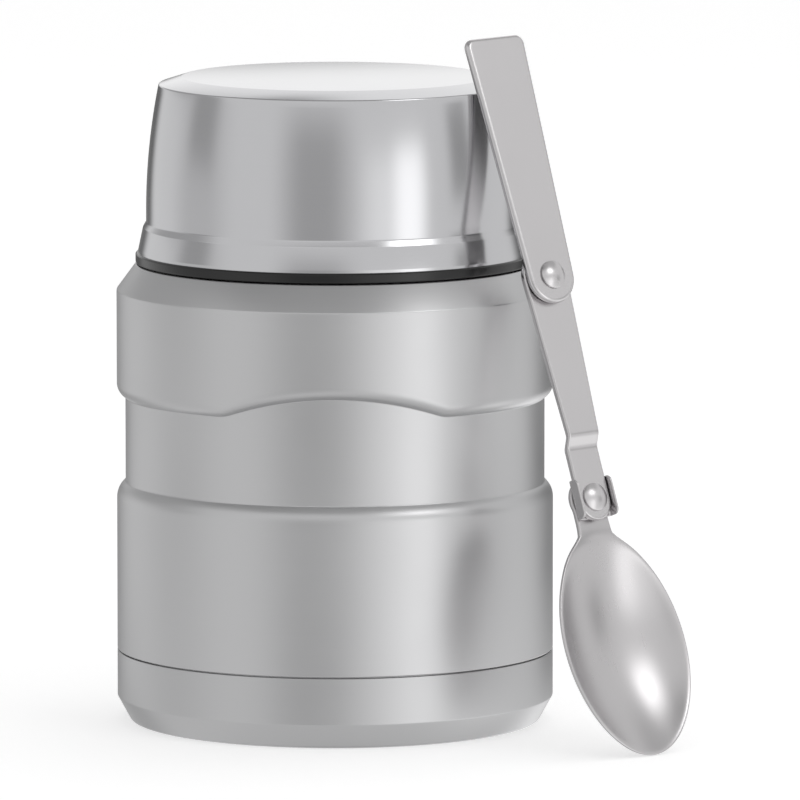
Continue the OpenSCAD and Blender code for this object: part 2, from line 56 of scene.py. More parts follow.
MM = 0.001
AROUND = 360  # steps round a turned piece
EDGE_STEPS = (0, 0.1, 0.25, 0.45, 0.7, 1)  # steps across a sheet's rounded edge, closer at its brink
MERGE_M = 2e-6  # points nearer than this are one point
EMPTY_M = 1e-6  # edges shorter than this are dropped
MATH = "ShaderNodeMath"


# ------------------------------------------------------------------ sizes and colours


def length(label, mm, text):
    """A size that the sidebar shows as a length."""
    return bpy.props.FloatProperty(
        name=label, description=text, default=mm * MM, min=0, unit="LENGTH", precision=5
    )


def turn(label, degrees, text):
    """An angle that the sidebar shows in degrees."""
    return bpy.props.FloatProperty(
        name=label, description=text, default=math.radians(degrees), subtype="ANGLE"
    )


def shade(label, code, text):
    """A colour, given as the sRGB hex code that the finish has in plain light."""
    return bpy.props.FloatVectorProperty(
        name=label, description=text, default=linear(code), size=3, min=0, max=1, subtype="COLOR"
    )


def linear(code):
    """An sRGB hex code as the linear colour that the shaders take."""
    parts = [int(code[i : i + 2], 16) / 255 for i in (1, 3, 5)]
    return [p / 12.92 if p <= 0.04045 else ((p + 0.055) / 1.055) ** 2.4 for p in parts]


class FoodJarBody(bpy.types.PropertyGroup):
    """Sizes of the double-walled jar"""

    body_r: length("Body Radius", 47, "Radius over the two wide bands")
    waist_depth: length("Waist Depth", 1.85, "How far the waist lies inside the bands")
    base_h: length("Base Height", 15.7, "Height of the seam above the base cup")
    base_t: length("Base Sheet", 0.8, "Thickness of the base cup's sheet")
    foot_h: length("Foot Height", 5.5, "Height of the foot's sloping edge")
    foot_w: length("Foot Width", 3, "Width of the foot's sloping edge")
    foot_round: length("Foot Rounding", 1.5, "Radius where the sloping edge meets the ground")
    seam_gap: length("Seam Gap", 0.25, "Width of the groove at the seam")
    bead_r: length("Bead Radius", 30, "Inner radius of the ring stamped under the base")
    bead_w: length("Bead Width", 6, "Width of the ring stamped under the base")
    bead_h: length("Bead Depth", 1.2, "Depth of the ring stamped under the base")
    lower_band_z: length("Lower Band", 48.4, "Height where the lower band begins to round in")
    band_round: length("Band Rounding", 4.4, "Radius of the lower band's rounded top")
    upper_band_z: length("Upper Band", 73.2, "Height where the rolled lip reaches full width")
    lip_roll: length("Lip Roll", 3.2, "Radius of the upper band's rolled lip")
    shoulder_z: length("Shoulder", 93.4, "Height where the shoulder begins")
    shoulder_h: length("Shoulder Height", 5.6, "Height of the sloping shoulder")
    shoulder_w: length("Shoulder Width", 4.1, "Width of the sloping shoulder")
    shell_t: length("Shell Sheet", 0.6, "Thickness of the outer sheet")
    arch_rise: length("Arch Rise", 4.5, "Rise of the rolled lip at the front")
    arch_angle: turn("Arch Half Angle", 30.8, "Half of the angle that the arch spans")
    arch_blend: length("Arch Blend", 0.35, "How softly the arch leaves the level lip")
    skirt_r: length("Skirt Radius", 46.1, "Radius of the shell's skirt inside the base cup")
    skirt_z: length("Skirt Height", 9, "Height of the skirt's lower edge")
    neck_r: length("Neck Radius", 36.6, "Outer radius of the neck")
    neck_h: length("Neck Height", 14.2, "Height of the neck above the shoulder")
    mouth_r: length("Mouth Radius", 34.4, "Inner radius of the mouth")
    vessel_r: length("Vessel Radius", 41.6, "Inner radius of the food vessel")
    vessel_t: length("Vessel Sheet", 0.5, "Thickness of the vessel's sheet")
    floor_z: length("Floor Height", 12, "Height of the vessel's floor")
    floor_round: length("Floor Rounding", 9, "Radius round the vessel's floor")


class FoodJarStopper(bpy.types.PropertyGroup):
    """Sizes of the insulated stopper"""

    seat_gap: length("Seat Gap", 0.2, "Clearance under the flange")
    flange_h: length("Flange Height", 2.6, "Height of the flange")
    flange_r: length("Flange Radius", 36.4, "Radius of the flange")
    plug_r: length("Plug Radius", 33.4, "Radius of the plug in the mouth")
    plug_h: length("Plug Depth", 18, "How far the plug reaches below the rim")
    plug_t: length("Plug Wall", 1.8, "Wall of the plug")
    gasket_h: length("Gasket Height", 3, "Height of the sealing ring")
    gasket_depth: length("Gasket Depth", 1.5, "Depth of the sealing ring's groove")
    gasket_up: length("Gasket Place", 2.2, "Height of the groove above the plug's underside")
    cap_r: length("Cap Radius", 34.4, "Radius of the cap")
    cap_h: length("Cap Height", 14, "Height of the cap above the flange")
    cap_round: length("Cap Rounding", 1.6, "Radius round the cap's top edge")
    grips: bpy.props.IntProperty(
        name="Grips", description="Number of grip hollows round the cap", default=20, min=6, max=40
    )
    grip_r: length("Grip Radius", 3, "Radius of each grip hollow")
    grip_depth: length("Grip Depth", 0.9, "Depth of each grip hollow")
    recess_h: length("Recess Depth", 12.4, "Depth of the recess for the folded spoon")
    recess_gap: length("Recess Room", 1.2, "Room round the folded spoon in its recess")
    slot_rise: length("Slot Rise", 3.6, "How much shallower the handle's slot is")


class FoodJarLid(bpy.types.PropertyGroup):
    """Sizes of the serving lid"""

    trim_r: length("Ring Radius", 42.9, "Outer radius of the black ring")
    trim_h: length("Ring Height", 2.2, "Height of the black ring")
    bore_r: length("Bore Radius", 37.8, "Inner radius of the threaded skirt")
    lid_r: length("Skirt Radius", 42.3, "Radius of the lid's lower edge")
    wall_r: length("Wall Radius", 40.6, "Radius of the wall above the skirt")
    rim_r: length("Rim Radius", 37.85, "Radius of the wall at its top")
    lid_h: length("Lid Height", 37.9, "Height of the lid's steel")
    skirt_h: length("Skirt Height", 6.7, "Height of the skirt")
    skirt_step: length("Skirt Step", 0.7, "How far the skirt stands out at the crease")
    bevel_w: length("Bevel Width", 5, "Width of the bevel round the top")
    bevel_h: length("Bevel Height", 1.6, "Height of the bevel round the top")
    lid_t: length("Lid Sheet", 0.6, "Thickness of the lid's sheet")
    lid_air: length("Wall Air", 1, "Air between the lid's wall and the liner")
    roof_air: length("Roof Air", 2.6, "Air between the lid's top and the liner")
    liner_t: length("Liner Wall", 1.4, "Wall of the liner")
    liner_round: length("Liner Rounding", 5, "Radius round the liner's roof")


class FoodJarSpoon(bpy.types.PropertyGroup):
    """Sizes of the folding spoon and the place where it stands"""

    link_l: length("Rivet Spacing", 48, "Distance between the two rivets")
    handle_l: length("Handle Length", 52.8, "Length of the handle above its rivet")
    bowl_reach: length("Bowl Reach", 56.6, "Distance from the lower rivet to the bowl's tip")
    handle_w: length("Handle Width", 15.6, "Width of the handle at its end")
    hinge_w: length("Hinge Width", 12, "Width of the handle round the upper rivet")
    tab_w: length("Tab Width", 8.2, "Width of the link at its lower end")
    tab_drop: length("Tab Drop", 0.8, "How far the tab's round end lies below its rivet")
    handle_t: length("Handle Sheet", 1.8, "Thickness of the handle")
    link_t: length("Link Sheet", 1.5, "Thickness of the link")
    joggle: length("Joggle", 1.7, "How far the link's lower end is set back")
    joggle_z: length("Joggle Height", 11, "Height of the joggle above the lower rivet")
    joggle_rise: length("Joggle Length", 2.5, "Length of the joggle along the link")
    bowl_w: length("Bowl Width", 32.4, "Width of the bowl")
    bowl_l: length("Bowl Length", 49, "Length of the bowl")
    bowl_h: length("Bowl Depth", 5.1, "Depth of the bowl inside")
    bowl_t: length("Bowl Sheet", 0.9, "Thickness of the bowl")
    tang_t: length("Tang Sheet", 1.2, "Thickness of the bowl's flat tang")
    tip_forward: length("Tip Forward", 1.8, "How far the bowl's tip stands forward of its neck")
    saddle_t: length("Saddle Sheet", 0.45, "Thickness of the saddle's sheet")
    ear_l: length("Ear Length", 8.6, "Length of the saddle's ears along the spoon")
    ear_h: length("Ear Height", 3.2, "Height of the saddle's ears")
    rivet_r: length("Rivet Shank", 1.6, "Radius of the rivets' shanks")
    head_r: length("Rivet Head", 3, "Radius of the rivets' heads")
    head_h: length("Head Height", 1.3, "Height of the rivets' domed heads")
    washer_t: length("Washer Sheet", 0.3, "Thickness of the washers")
    run_gap: length("Running Gap", 0.05, "Running clearance round the rivets")
    foot_out: length("Foot Out", 84.4, "Distance of the bowl's tip from the axis, to the front")
    foot_side: length("Foot Side", 20.6, "Distance of the bowl's tip from the axis, to the side")
    foot_gap: length("Foot Gap", 0.1, "Height of the bowl's tip above the ground")
    lean_gap: length("Lean Gap", 0.3, "Clearance between the handle and the lid")
    spoon_turn: turn("Spoon Turn", 38, "Direction that the spoon's face looks in")
    spoon_tilt: turn("Spoon Tilt", 1.6, "Sideways tilt of the spoon against the lid")


class FoodJarFinish(bpy.types.PropertyGroup):
    """Colours of the finishes"""

    body: shade("Body Steel", "#C6C6C7", "Satin stainless steel of the jar")
    lid: shade("Lid Steel", "#C8C8CA", "Bright stainless steel of the lid")
    vessel: shade("Vessel Steel", "#D2D1CE", "Electropolished steel that holds the food")
    spoon: shade("Spoon Steel", "#CCCACB", "Tumbled stainless steel of the spoon")
    plastic: shade("Black Plastic", "#1C1C1E", "Moulded polypropylene of the stopper and liner")
    trim: shade("Ring Plastic", "#0F0F10", "Black ring under the lid")
    silicone: shade("Silicone", "#CBCBC6", "Silicone of the sealing ring")


class FoodJarSettings(bpy.types.PropertyGroup):
    """Everything that the sidebar shows for the food jar"""

    body: bpy.props.PointerProperty(
        type=FoodJarBody, name="Jar", description="Sizes of the double-walled jar"
    )
    stopper: bpy.props.PointerProperty(
        type=FoodJarStopper, name="Stopper", description="Sizes of the insulated stopper"
    )
    lid: bpy.props.PointerProperty(
        type=FoodJarLid, name="Lid", description="Sizes of the serving lid"
    )
    spoon: bpy.props.PointerProperty(
        type=FoodJarSpoon, name="Spoon", description="Sizes of the folding spoon"
    )
    finish: bpy.props.PointerProperty(
        type=FoodJarFinish, name="Finish", description="Colours of the finishes"
    )


def sizes(group):
    """A property group's lengths in millimetres, and its angles and counts as they are."""
    values = {}
    for key in group.__annotations__:
        value = getattr(group, key)
        is_length = group.bl_rna.properties[key].unit == "LENGTH"
        values[key] = round(value / MM, 4) if is_length else value
    return SimpleNamespace(**values)


def all_sizes(context):
    """The jar's, the stopper's, the lid's and the spoon's sizes, with the heights between them."""
    settings = context.scene.food_jar
    j, p, lid, s = (sizes(g) for g in (settings.body, settings.stopper, settings.lid, settings.spoon))
    j.waist_r = j.body_r - j.waist_depth
    j.deck_z = j.shoulder_z + j.shoulder_h
    j.deck_r = j.body_r - j.shoulder_w
    j.rim_z = j.deck_z + j.neck_h
    p.seat_z = j.rim_z + p.seat_gap
    p.flange_z = p.seat_z + p.flange_h
    p.cap_z = p.flange_z + p.cap_h
    p.plug_z = j.rim_z - p.plug_h
    lid.trim_z = j.deck_z + p.seat_gap
    lid.low_z = lid.trim_z + lid.trim_h
    lid.top_z = lid.low_z + lid.lid_h
    lid.rim_z = lid.top_z - lid.bevel_h
    lid.crease_z = lid.low_z + lid.skirt_h
    lid.wall_z = lid.crease_z + 2
    lid.wall_arc = bend_radius(lid.wall_r - lid.rim_r, lid.rim_z - lid.wall_z)
    s.tab_y = s.joggle
    s.saddle_y = s.tab_y + s.link_t
    s.tang_y = s.saddle_y + s.saddle_t + s.washer_t + s.run_gap
    s.handle_y = -s.washer_t - s.run_gap - s.handle_t
    s.high = s.joggle_z + s.joggle_rise
    s.place = standing_place(s, lid)
    return j, p, lid, s


def bend_radius(sag, run):
    """Radius of the arc that bends in by sag over a run that starts square to it."""
    return (sag * sag + run * run) / (2 * sag)


def standing_place(s, lid):
    """Turns the spoon's own frame to where it stands: tip on the ground, handle on the lid's rim.

    In its own frame the spoon's face looks along -Y, its length is along Z and the lower rivet
    is at the origin's height.
    """
    tip_y = s.tang_y - s.tip_forward
    rest_up = math.hypot(lid.rim_r - s.foot_out, lid.rim_z)
    widening = (s.handle_w - s.hinge_w) / s.handle_l
    rest_w = s.hinge_w + widening * (rest_up - s.bowl_reach - s.link_l)
    rest_side = s.foot_side - rest_w / 2 - rest_up * math.sin(s.spoon_tilt)
    rest_out = math.sqrt(lid.rim_r**2 - rest_side**2)
    reach = Vector((rest_out - s.foot_out, lid.rim_z - s.foot_gap))
    step = tip_y - (s.handle_y + s.handle_t) - s.lean_gap
    lean = math.atan2(reach.y, reach.x) - math.acos(step / reach.length)
    out = Vector((math.sin(s.spoon_turn), -math.cos(s.spoon_turn)))
    side = Vector((math.cos(s.spoon_turn), math.sin(s.spoon_turn)))
    foot = out * s.foot_out + side * s.foot_side
    return (
        Matrix.Translation((foot.x, foot.y, s.foot_gap))
        @ Matrix.Rotation(s.spoon_turn, 4, "Z")
        @ Matrix.Rotation(-lean, 4, "X")
        @ Matrix.Rotation(-s.spoon_tilt, 4, "Y")
        @ Matrix.Translation((0, -tip_y, s.bowl_reach))
    )


# ------------------------------------------------------------------ shapes


def fillet(points, closed=True, step=math.radians(15)):
    """An outline through corner points (x, y) or (x, y, radius), with each corner rounded."""
    outline = []
    last = len(points) - 1
    for i, (x, y, *radius) in enumerate(points):
        if not radius or (not closed and i in (0, last)):
            outline.append((x, y))
            continue
        corner = Vector((x, y))
        before = (Vector(points[i - 1][:2]) - corner).normalized()
        after = (Vector(points[(i + 1) % (last + 1)][:2]) - corner).normalized()
        half = before.angle(after) / 2
        centre = corner + (before + after).normalized() * (radius[0] / math.sin(half))
        reach = radius[0] / math.tan(half)
        start, end = corner + before * reach - centre, corner + after * reach - centre
        sweep = math.copysign(math.pi - 2 * half, start.cross(end))
        steps = max(2, math.ceil(abs(sweep) / step))
        for k in range(steps + 1):
            a = sweep * k / steps
            spoke = Matrix.Rotation(a, 2) @ start
            outline.append(tuple(centre + spoke))
    return outline


def bow(centre, radius, first, final, steps=8):
    """Points along an arc round a centre, between two angles in degrees."""
    angles = [math.radians(first + (final - first) * i / steps) for i in range(steps + 1)]
    return [(centre[0] + radius * math.cos(a), centre[1] + radius * math.sin(a)) for a in angles]


def mesh_piece(name, points, faces, sharp=32):
    """A mesh object from points in millimetres, merged, closed and with its faces outwards."""
    mesh = bpy.data.meshes.new(name)
    mesh.from_pydata([Vector(p) * MM for p in points], [], faces)
    tidy(mesh, sharp)
    piece = bpy.data.objects.new(name, mesh)
    bpy.context.scene.collection.objects.link(piece)
    return piece


def tidy(mesh, sharp=32):
    """Merges doubles, drops empty faces, turns faces outwards and smooths all but sharp edges."""
    work = bmesh.new()
    work.from_mesh(mesh)
    bmesh.ops.remove_doubles(work, verts=work.verts, dist=MERGE_M)
    bmesh.ops.dissolve_degenerate(work, edges=work.edges, dist=EMPTY_M)
    bmesh.ops.recalc_face_normals(work, faces=work.faces)
    for face in work.faces:
        face.smooth = True
    work.to_mesh(mesh)
    work.free()
    mesh.set_sharp_from_angle(angle=math.radians(sharp))
    mesh.update()


def turned(name, profile, closed=True, around=AROUND, sharp=32):
    """A piece turned on the jar's axis from a profile of (radius, height) in millimetres."""
    count = len(profile)
    points, faces = [], []
    for k in range(around):
        a = 2 * math.pi * k / around
        points += [(r * math.cos(a), r * math.sin(a), z) for r, z in profile]
    for k in range(around):
        near, far = k * count, (k + 1) % around * count
        for i in range(count if closed else count - 1):
            j = (i + 1) % count
            faces.append((near + i, near + j, far + j, far + i))
    return mesh_piece(name, points, faces, sharp)


def strip(name, rows, front, back, edge, bend=None, columns=14):
    """A sheet-metal piece: rows of (z, half width), front and back faces, and rounded edges.

    front and back give the depth at (x, z); edge is the rounding; bend moves a finished point.
    """
    outline = np.array([(0, rows[0][0])] + [(w, z) for z, w in rows] + [(0, rows[-1][0])])
    start, along = outline[:-1], np.diff(outline, axis=0)
    span = np.maximum((along**2).sum(1), 1e-12)

    def inside(x, z):
        """Distance from a point to the outline."""
        t = np.clip((((x, z) - start) * along).sum(1) / span, 0, 1)
        return float(np.sqrt((((x, z) - start - along * t[:, None]) ** 2).sum(1).min()))

    def rounding(gap):
        """How far the faces draw together at that distance from the outline."""
        return edge - math.sqrt(edge**2 - (edge - gap) ** 2) if gap < edge else 0

    steps = [i / columns for i in range(columns)]
    points = []
    for z, w in rows:
        brink = min(edge, 0.5 * w)
        half = [(w - brink) * f for f in steps]
        half += [w - brink * g for g in reversed(EDGE_STEPS)]
        xs = [-x for x in reversed(half[1:])] + half
        for depth, sign in ((front, 1), (back, -1)):
            for x in xs:
                y = depth(x, z) + sign * rounding(inside(abs(x), z))
                points.append((x, y, z))
    width = len(xs)
    ring = 2 * width
    faces = []
    for r in range(len(rows) - 1):
        a, b = r * ring, (r + 1) * ring
        for side in (0, width):
            for i in range(width - 1):
                faces.append((a + side + i, a + side + i + 1, b + side + i + 1, b + side + i))
        for i in (0, width - 1):
            faces.append((a + i, b + i, b + width + i, a + width + i))
    for r in (0, len(rows) - 1):
        a = r * ring
        for i in range(width - 1):
            faces.append((a + i, a + i + 1, a + width + i + 1, a + width + i))
    if bend:
        points = [bend(*p) for p in points]
    return mesh_piece(name, points, faces)


def placed(piece, matrix):
    """Moves a piece's mesh, given in millimetres, by a matrix in millimetres."""
    scale = Matrix.Scale(MM, 4)
    piece.data.transform(scale @ matrix @ scale.inverted())
    piece.data.update()
    return piece


def punched(piece, spots, radius, low, high):
    """Cuts round holes along the depth through a piece, at heights up the spoon."""
    for z in spots:
        wall = [(0, low), (radius, low), (radius, high), (0, high)]
        tool = turned("punch", wall, closed=False, around=48)
        tool.data.transform(Matrix.Translation((0, 0, z * MM)) @ Matrix.Rotation(-math.pi / 2, 4, "X"))
        cut = piece.modifiers.new("Hole", "BOOLEAN")
        cut.object, cut.operation, cut.solver = tool, "DIFFERENCE", "EXACT"
        flatten(piece)
        bpy.data.objects.remove(tool)
    return piece


def flatten(piece):
    """Turns a piece with modifiers into a plain mesh."""
    graph = bpy.context.evaluated_depsgraph_get()
    result = bpy.data.meshes.new_from_object(piece.evaluated_get(graph))
    piece.modifiers.clear()
    old, piece.data = piece.data, result
    bpy.data.meshes.remove(old)
    result.name = piece.name
    tidy(result)
    return piece


def finished(piece, material, body, slot, *nodes):
    """Gives a piece its finish, its body and the solids that it stands for."""
    piece.data.materials.clear()
    piece.data.materials.append(material)
    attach(piece, body)
    if nodes:
        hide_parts(*nodes)
    return piece


def add(tree, kind, inputs=(), **settings):
    """Adds a node with its settings, and fills its inputs, given in order or by their names.

    An input takes a value, an output, or a node, which stands for its first output.
    """
    made = tree.nodes.new(kind)
    for key, value in settings.items():
        setattr(made, key, value)
    for key, value in inputs.items() if isinstance(inputs, dict) else enumerate(inputs):
        if isinstance(value, bpy.types.Node):
            value = value.outputs[0]
        if isinstance(value, bpy.types.NodeSocket):
            tree.links.new(value, made.inputs[key])
        else:
            made.inputs[key].default_value = value
    return made


# ------------------------------------------------------------------ rules that repeat


def rule_tree(name, inputs):
    """A new geometry rule with its named inputs: {name: (kind, default)}."""
    tree = bpy.data.node_groups.new(name, "GeometryNodeTree")
    tree.interface.new_socket("Geometry", in_out="INPUT", socket_type="NodeSocketGeometry")
    tree.interface.new_socket("Geometry", in_out="OUTPUT", socket_type="NodeSocketGeometry")
    for label, (kind, value) in inputs.items():
        socket = tree.interface.new_socket(label, in_out="INPUT", socket_type="NodeSocket" + kind)
        if value is not None:
            socket.default_value = value
    return tree, tree.nodes.new("NodeGroupInput").outputs


def close_rule(tree, geometry, given):
    """Ends a rule: instances made real, then the finish set."""
    real = add(tree, "GeometryNodeRealizeInstances", {"Geometry": geometry})
    dressed = add(tree, "GeometryNodeSetMaterial", {"Geometry": real, "Material": given["Material"]})
    add(tree, "NodeGroupOutput", {"Geometry": dressed})
    return tree


def apply_rule(piece, tree, **values):
    """Runs a rule on a piece with its inputs set by socket, and keeps the plain mesh."""
    modifier = piece.modifiers.new(tree.name, "NODES")
    modifier.node_group = tree
    for socket in tree.interface.items_tree:
        key = socket.name.replace(" ", "_").lower()
        if socket.in_out == "INPUT" and key in values:
            modifier[socket.identifier] = values[key]
    return flatten(piece)


def arch_rule():
    """Lifts the marked lip into an arch whose edge lies in one tilted plane across the body."""
    tree, given = rule_tree(
        "Front arch",
        {"Rise": ("Float", 0.0), "Half Angle": ("Float", 0.5), "Blend": ("Float", 0.0),
         "Material": ("Material", None)},
    )
    axes = add(tree, "ShaderNodeSeparateXYZ", (add(tree, "GeometryNodeInputPosition"),)).outputs
    flat = add(tree, "ShaderNodeCombineXYZ", (axes[0], axes[1]))
    radius = add(tree, "ShaderNodeVectorMath", (flat,), operation="LENGTH").outputs["Value"]
    forward = add(tree, MATH, (axes[1], -1.0), operation="MULTIPLY")
    out = add(tree, MATH, (forward, radius), operation="DIVIDE")
    end = add(tree, MATH, (given["Half Angle"],), operation="COSINE")
    past = add(tree, MATH, (out, end), operation="SUBTRACT")
    span = add(tree, MATH, (1.0, end), operation="SUBTRACT")
    climb = add(tree, MATH, (past, span), operation="DIVIDE")
    raised = add(tree, MATH, (climb, given["Rise"]), operation="MULTIPLY")
    # The lift is the plane's height where that is above the level lip, and nothing where it is
    # below, with the blend rounding the change: (height + sqrt(height² + blend²)) / 2.
    raised_squared = add(tree, MATH, (raised, raised), operation="MULTIPLY")
    blend_squared = add(tree, MATH, (given["Blend"], given["Blend"]), operation="MULTIPLY")
    both_squared = add(tree, MATH, (raised_squared, blend_squared), operation="ADD")
    soft = add(tree, MATH, (both_squared,), operation="SQRT")
    doubled = add(tree, MATH, (raised, soft), operation="ADD")
    lift = add(tree, MATH, (doubled, 0.5), operation="MULTIPLY")
    lip = add(tree, "GeometryNodeInputNamedAttribute", {"Name": "lip"}, data_type="FLOAT")
    lip_lift = add(tree, MATH, (lift, lip), operation="MULTIPLY")
    offset = add(tree, "ShaderNodeCombineXYZ", {"Z": lip_lift})
    moved = add(tree, "GeometryNodeSetPosition", {"Geometry": given["Geometry"], "Offset": offset})
    return close_rule(tree, moved, given)


def thread_rule():
    """A round thread rib on a helix, which runs out to nothing at both ends."""
    tree, given = rule_tree(
        "Thread rib",
        {"Radius": ("Float", 0.0366), "Turns": ("Float", 1.25), "Pitch": ("Float", 0.004),
         "Rib": ("Float", 0.0005), "Start Height": ("Float", 0.1), "Start Angle": ("Float", 0.0),
         "Material": ("Material", None)},
    )
    climb = add(tree, MATH, (given["Pitch"], given["Turns"]), operation="MULTIPLY")
    helix = add(tree, "GeometryNodeCurveSpiral",
                {"Resolution": 160, "Rotations": given["Turns"], "Start Radius": given["Radius"],
                 "End Radius": given["Radius"], "Height": climb})
    place = add(tree, "ShaderNodeCombineXYZ", {"Z": given["Start Height"]})
    spin = add(tree, "ShaderNodeCombineXYZ", {"Z": given["Start Angle"]})
    set_out = add(tree, "GeometryNodeTransform",
                  {"Geometry": helix, "Translation": place, "Rotation": spin})
    # The rib reaches its full size within about a sixtieth of its length from either end.
    along = add(tree, "GeometryNodeSplineParameter").outputs["Factor"]
    left = add(tree, MATH, (1.0, along), operation="SUBTRACT")
    from_ends = add(tree, MATH, (along, left), operation="MULTIPLY")
    sixtieths = add(tree, MATH, (from_ends, 60.0), operation="MULTIPLY")
    capped = add(tree, MATH, (sixtieths, 1.0), operation="MINIMUM")
    rounded = add(tree, MATH, (capped,), operation="SQRT")
    fade = add(tree, MATH, (rounded, 0.02), operation="MAXIMUM")
    sized = add(tree, "GeometryNodeSetCurveRadius", {"Curve": set_out, "Radius": fade})
    rib = add(tree, "GeometryNodeCurvePrimitiveCircle", {"Resolution": 12, "Radius": given["Rib"]},
              mode="RADIUS")
    swept = add(tree, "GeometryNodeCurveToMesh",
                {"Curve": sized, "Profile Curve": rib, "Fill Caps": True})
    return close_rule(tree, swept, given)


def grip_rule():
    """Presses a ring of round hollows into the marked wall of the cap."""
    tree, given = rule_tree(
        "Grip hollows",
        {"Grips": ("Int", 20), "Cap Radius": ("Float", 0.0344), "Grip Radius": ("Float", 0.003),
         "Grip Depth": ("Float", 0.0009), "Material": ("Material", None)},
    )
    axes = add(tree, "ShaderNodeSeparateXYZ", (add(tree, "GeometryNodeInputPosition"),)).outputs
    # The angle from the middle of the nearest hollow.
    angle = add(tree, MATH, (axes[1], axes[0]), operation="ARCTAN2")
    pitch = add(tree, MATH, (2 * math.pi, given["Grips"]), operation="DIVIDE")
    pitches = add(tree, MATH, (angle, pitch), operation="DIVIDE")
    part = add(tree, MATH, (pitches, 1.0), operation="FLOORED_MODULO")
    from_middle = add(tree, MATH, (part, 0.5), operation="SUBTRACT")
    away = add(tree, MATH, (from_middle, pitch), operation="MULTIPLY")
    # How far out the hollow's round wall lies at that angle.
    outermost = add(tree, MATH, (given["Cap Radius"], given["Grip Radius"]), operation="ADD")
    far = add(tree, MATH, (outermost, given["Grip Depth"]), operation="SUBTRACT")
    sine = add(tree, MATH, (away,), operation="SINE")
    across = add(tree, MATH, (far, sine), operation="MULTIPLY")
    grip_squared = add(tree, MATH, (given["Grip Radius"], given["Grip Radius"]), operation="MULTIPLY")
    across_squared = add(tree, MATH, (across, across), operation="MULTIPLY")
    room = add(tree, MATH, (grip_squared, across_squared), operation="SUBTRACT")
    cosine = add(tree, MATH, (away,), operation="COSINE")
    middle = add(tree, MATH, (far, cosine), operation="MULTIPLY")
    open_room = add(tree, MATH, (room, 0.0), operation="MAXIMUM")
    depth = add(tree, MATH, (open_room,), operation="SQRT")
    wall = add(tree, MATH, (middle, depth), operation="SUBTRACT")
    # What lies further out, inside a hollow and on the marked wall, is drawn in to it.
    flat = add(tree, "ShaderNodeCombineXYZ", (axes[0], axes[1]))
    radius = add(tree, "ShaderNodeVectorMath", (flat,), operation="LENGTH").outputs["Value"]
    scale = add(tree, MATH, (wall, radius), operation="DIVIDE")
    limit = add(tree, MATH, (scale, 1.0), operation="MINIMUM")
    grip = add(tree, "GeometryNodeInputNamedAttribute", {"Name": "grip"}, data_type="FLOAT")
    has_room = add(tree, MATH, (room, 0.0), operation="GREATER_THAN")
    in_hollow = add(tree, MATH, (has_room, grip), operation="MULTIPLY")
    less = add(tree, MATH, (limit, 1.0), operation="SUBTRACT")
    share = add(tree, MATH, (less, in_hollow), operation="MULTIPLY")
    push = add(tree, "ShaderNodeVectorMath", {0: flat, "Scale": share}, operation="SCALE")
    moved = add(tree, "GeometryNodeSetPosition", {"Geometry": given["Geometry"], "Offset": push})
    return close_rule(tree, moved, given)


def rivet_rule():
    """Sets one rivet at each end of the link, the second further forward and longer in its shank."""
    tree, given = rule_tree(
        "Rivet pair",
        {"Spacing": ("Float", 0.048), "Forward": ("Float", 0.0039), "Longer": ("Float", 0.00015),
         "Material": ("Material", None)},
    )
    back = add(tree, "GeometryNodeInputNamedAttribute", {"Name": "back"}, data_type="FLOAT")
    back_step = add(tree, MATH, (back, given["Longer"]), operation="MULTIPLY")
    stretch = add(tree, "ShaderNodeCombineXYZ", {"Y": back_step})
    longer = add(tree, "GeometryNodeSetPosition", {"Geometry": given["Geometry"], "Offset": stretch})
    forward = add(tree, MATH, (given["Forward"], -1.0), operation="MULTIPLY")
    spot = add(tree, "ShaderNodeCombineXYZ", {"Y": forward, "Z": given["Spacing"]})
    point = add(tree, "GeometryNodePoints", {"Count": 1, "Position": spot})
    second = add(tree, "GeometryNodeInstanceOnPoints", {"Points": point, "Instance": longer})
    both = add(tree, "GeometryNodeJoinGeometry")
    tree.links.new(given["Geometry"], both.inputs[0])
    tree.links.new(second.outputs[0], both.inputs[0])
    return close_rule(tree, both, given)


# ------------------------------------------------------------------ finishes

ROUND_GRAIN_MM = 30  # length of a grain line round the jar
STRIP_GRAIN_MM = 18  # length of a grain line along the spoon
CLOUDS_PER_M = 38.0  # the steel's clouding changes over about 26 mm
FLOWS_PER_M = 45.0  # the plastic's tone changes over about 22 mm


def material(name):
    """A new material with its tree, its shader and the piece's own coordinates."""
    made = bpy.data.materials.new(name)
    made.use_nodes = True
    tree = made.node_tree
    place = add(tree, "ShaderNodeTexCoord").outputs["Object"]
    return made, tree, tree.nodes["Principled BSDF"], place


def around_axis(tree, place, fine, drift):
    """Coordinates whose fine direction runs out from the jar's axis and up, as a lathe cuts."""
    axes = add(tree, "ShaderNodeSeparateXYZ", (place,)).outputs
    flat = add(tree, "ShaderNodeCombineXYZ", (axes[0], axes[1]))
    radius = add(tree, "ShaderNodeVectorMath", (flat,), operation="LENGTH").outputs["Value"]
    aslant = add(tree, MATH, (axes[1], 0.6), operation="MULTIPLY")
    sideways = add(tree, MATH, (axes[0], aslant), operation="ADD")
    outwards = add(tree, MATH, (radius, fine), operation="MULTIPLY")
    upwards = add(tree, MATH, (axes[2], fine), operation="MULTIPLY")
    slow = add(tree, MATH, (sideways, drift), operation="MULTIPLY")
    return add(tree, "ShaderNodeCombineXYZ", (outwards, upwards, slow))


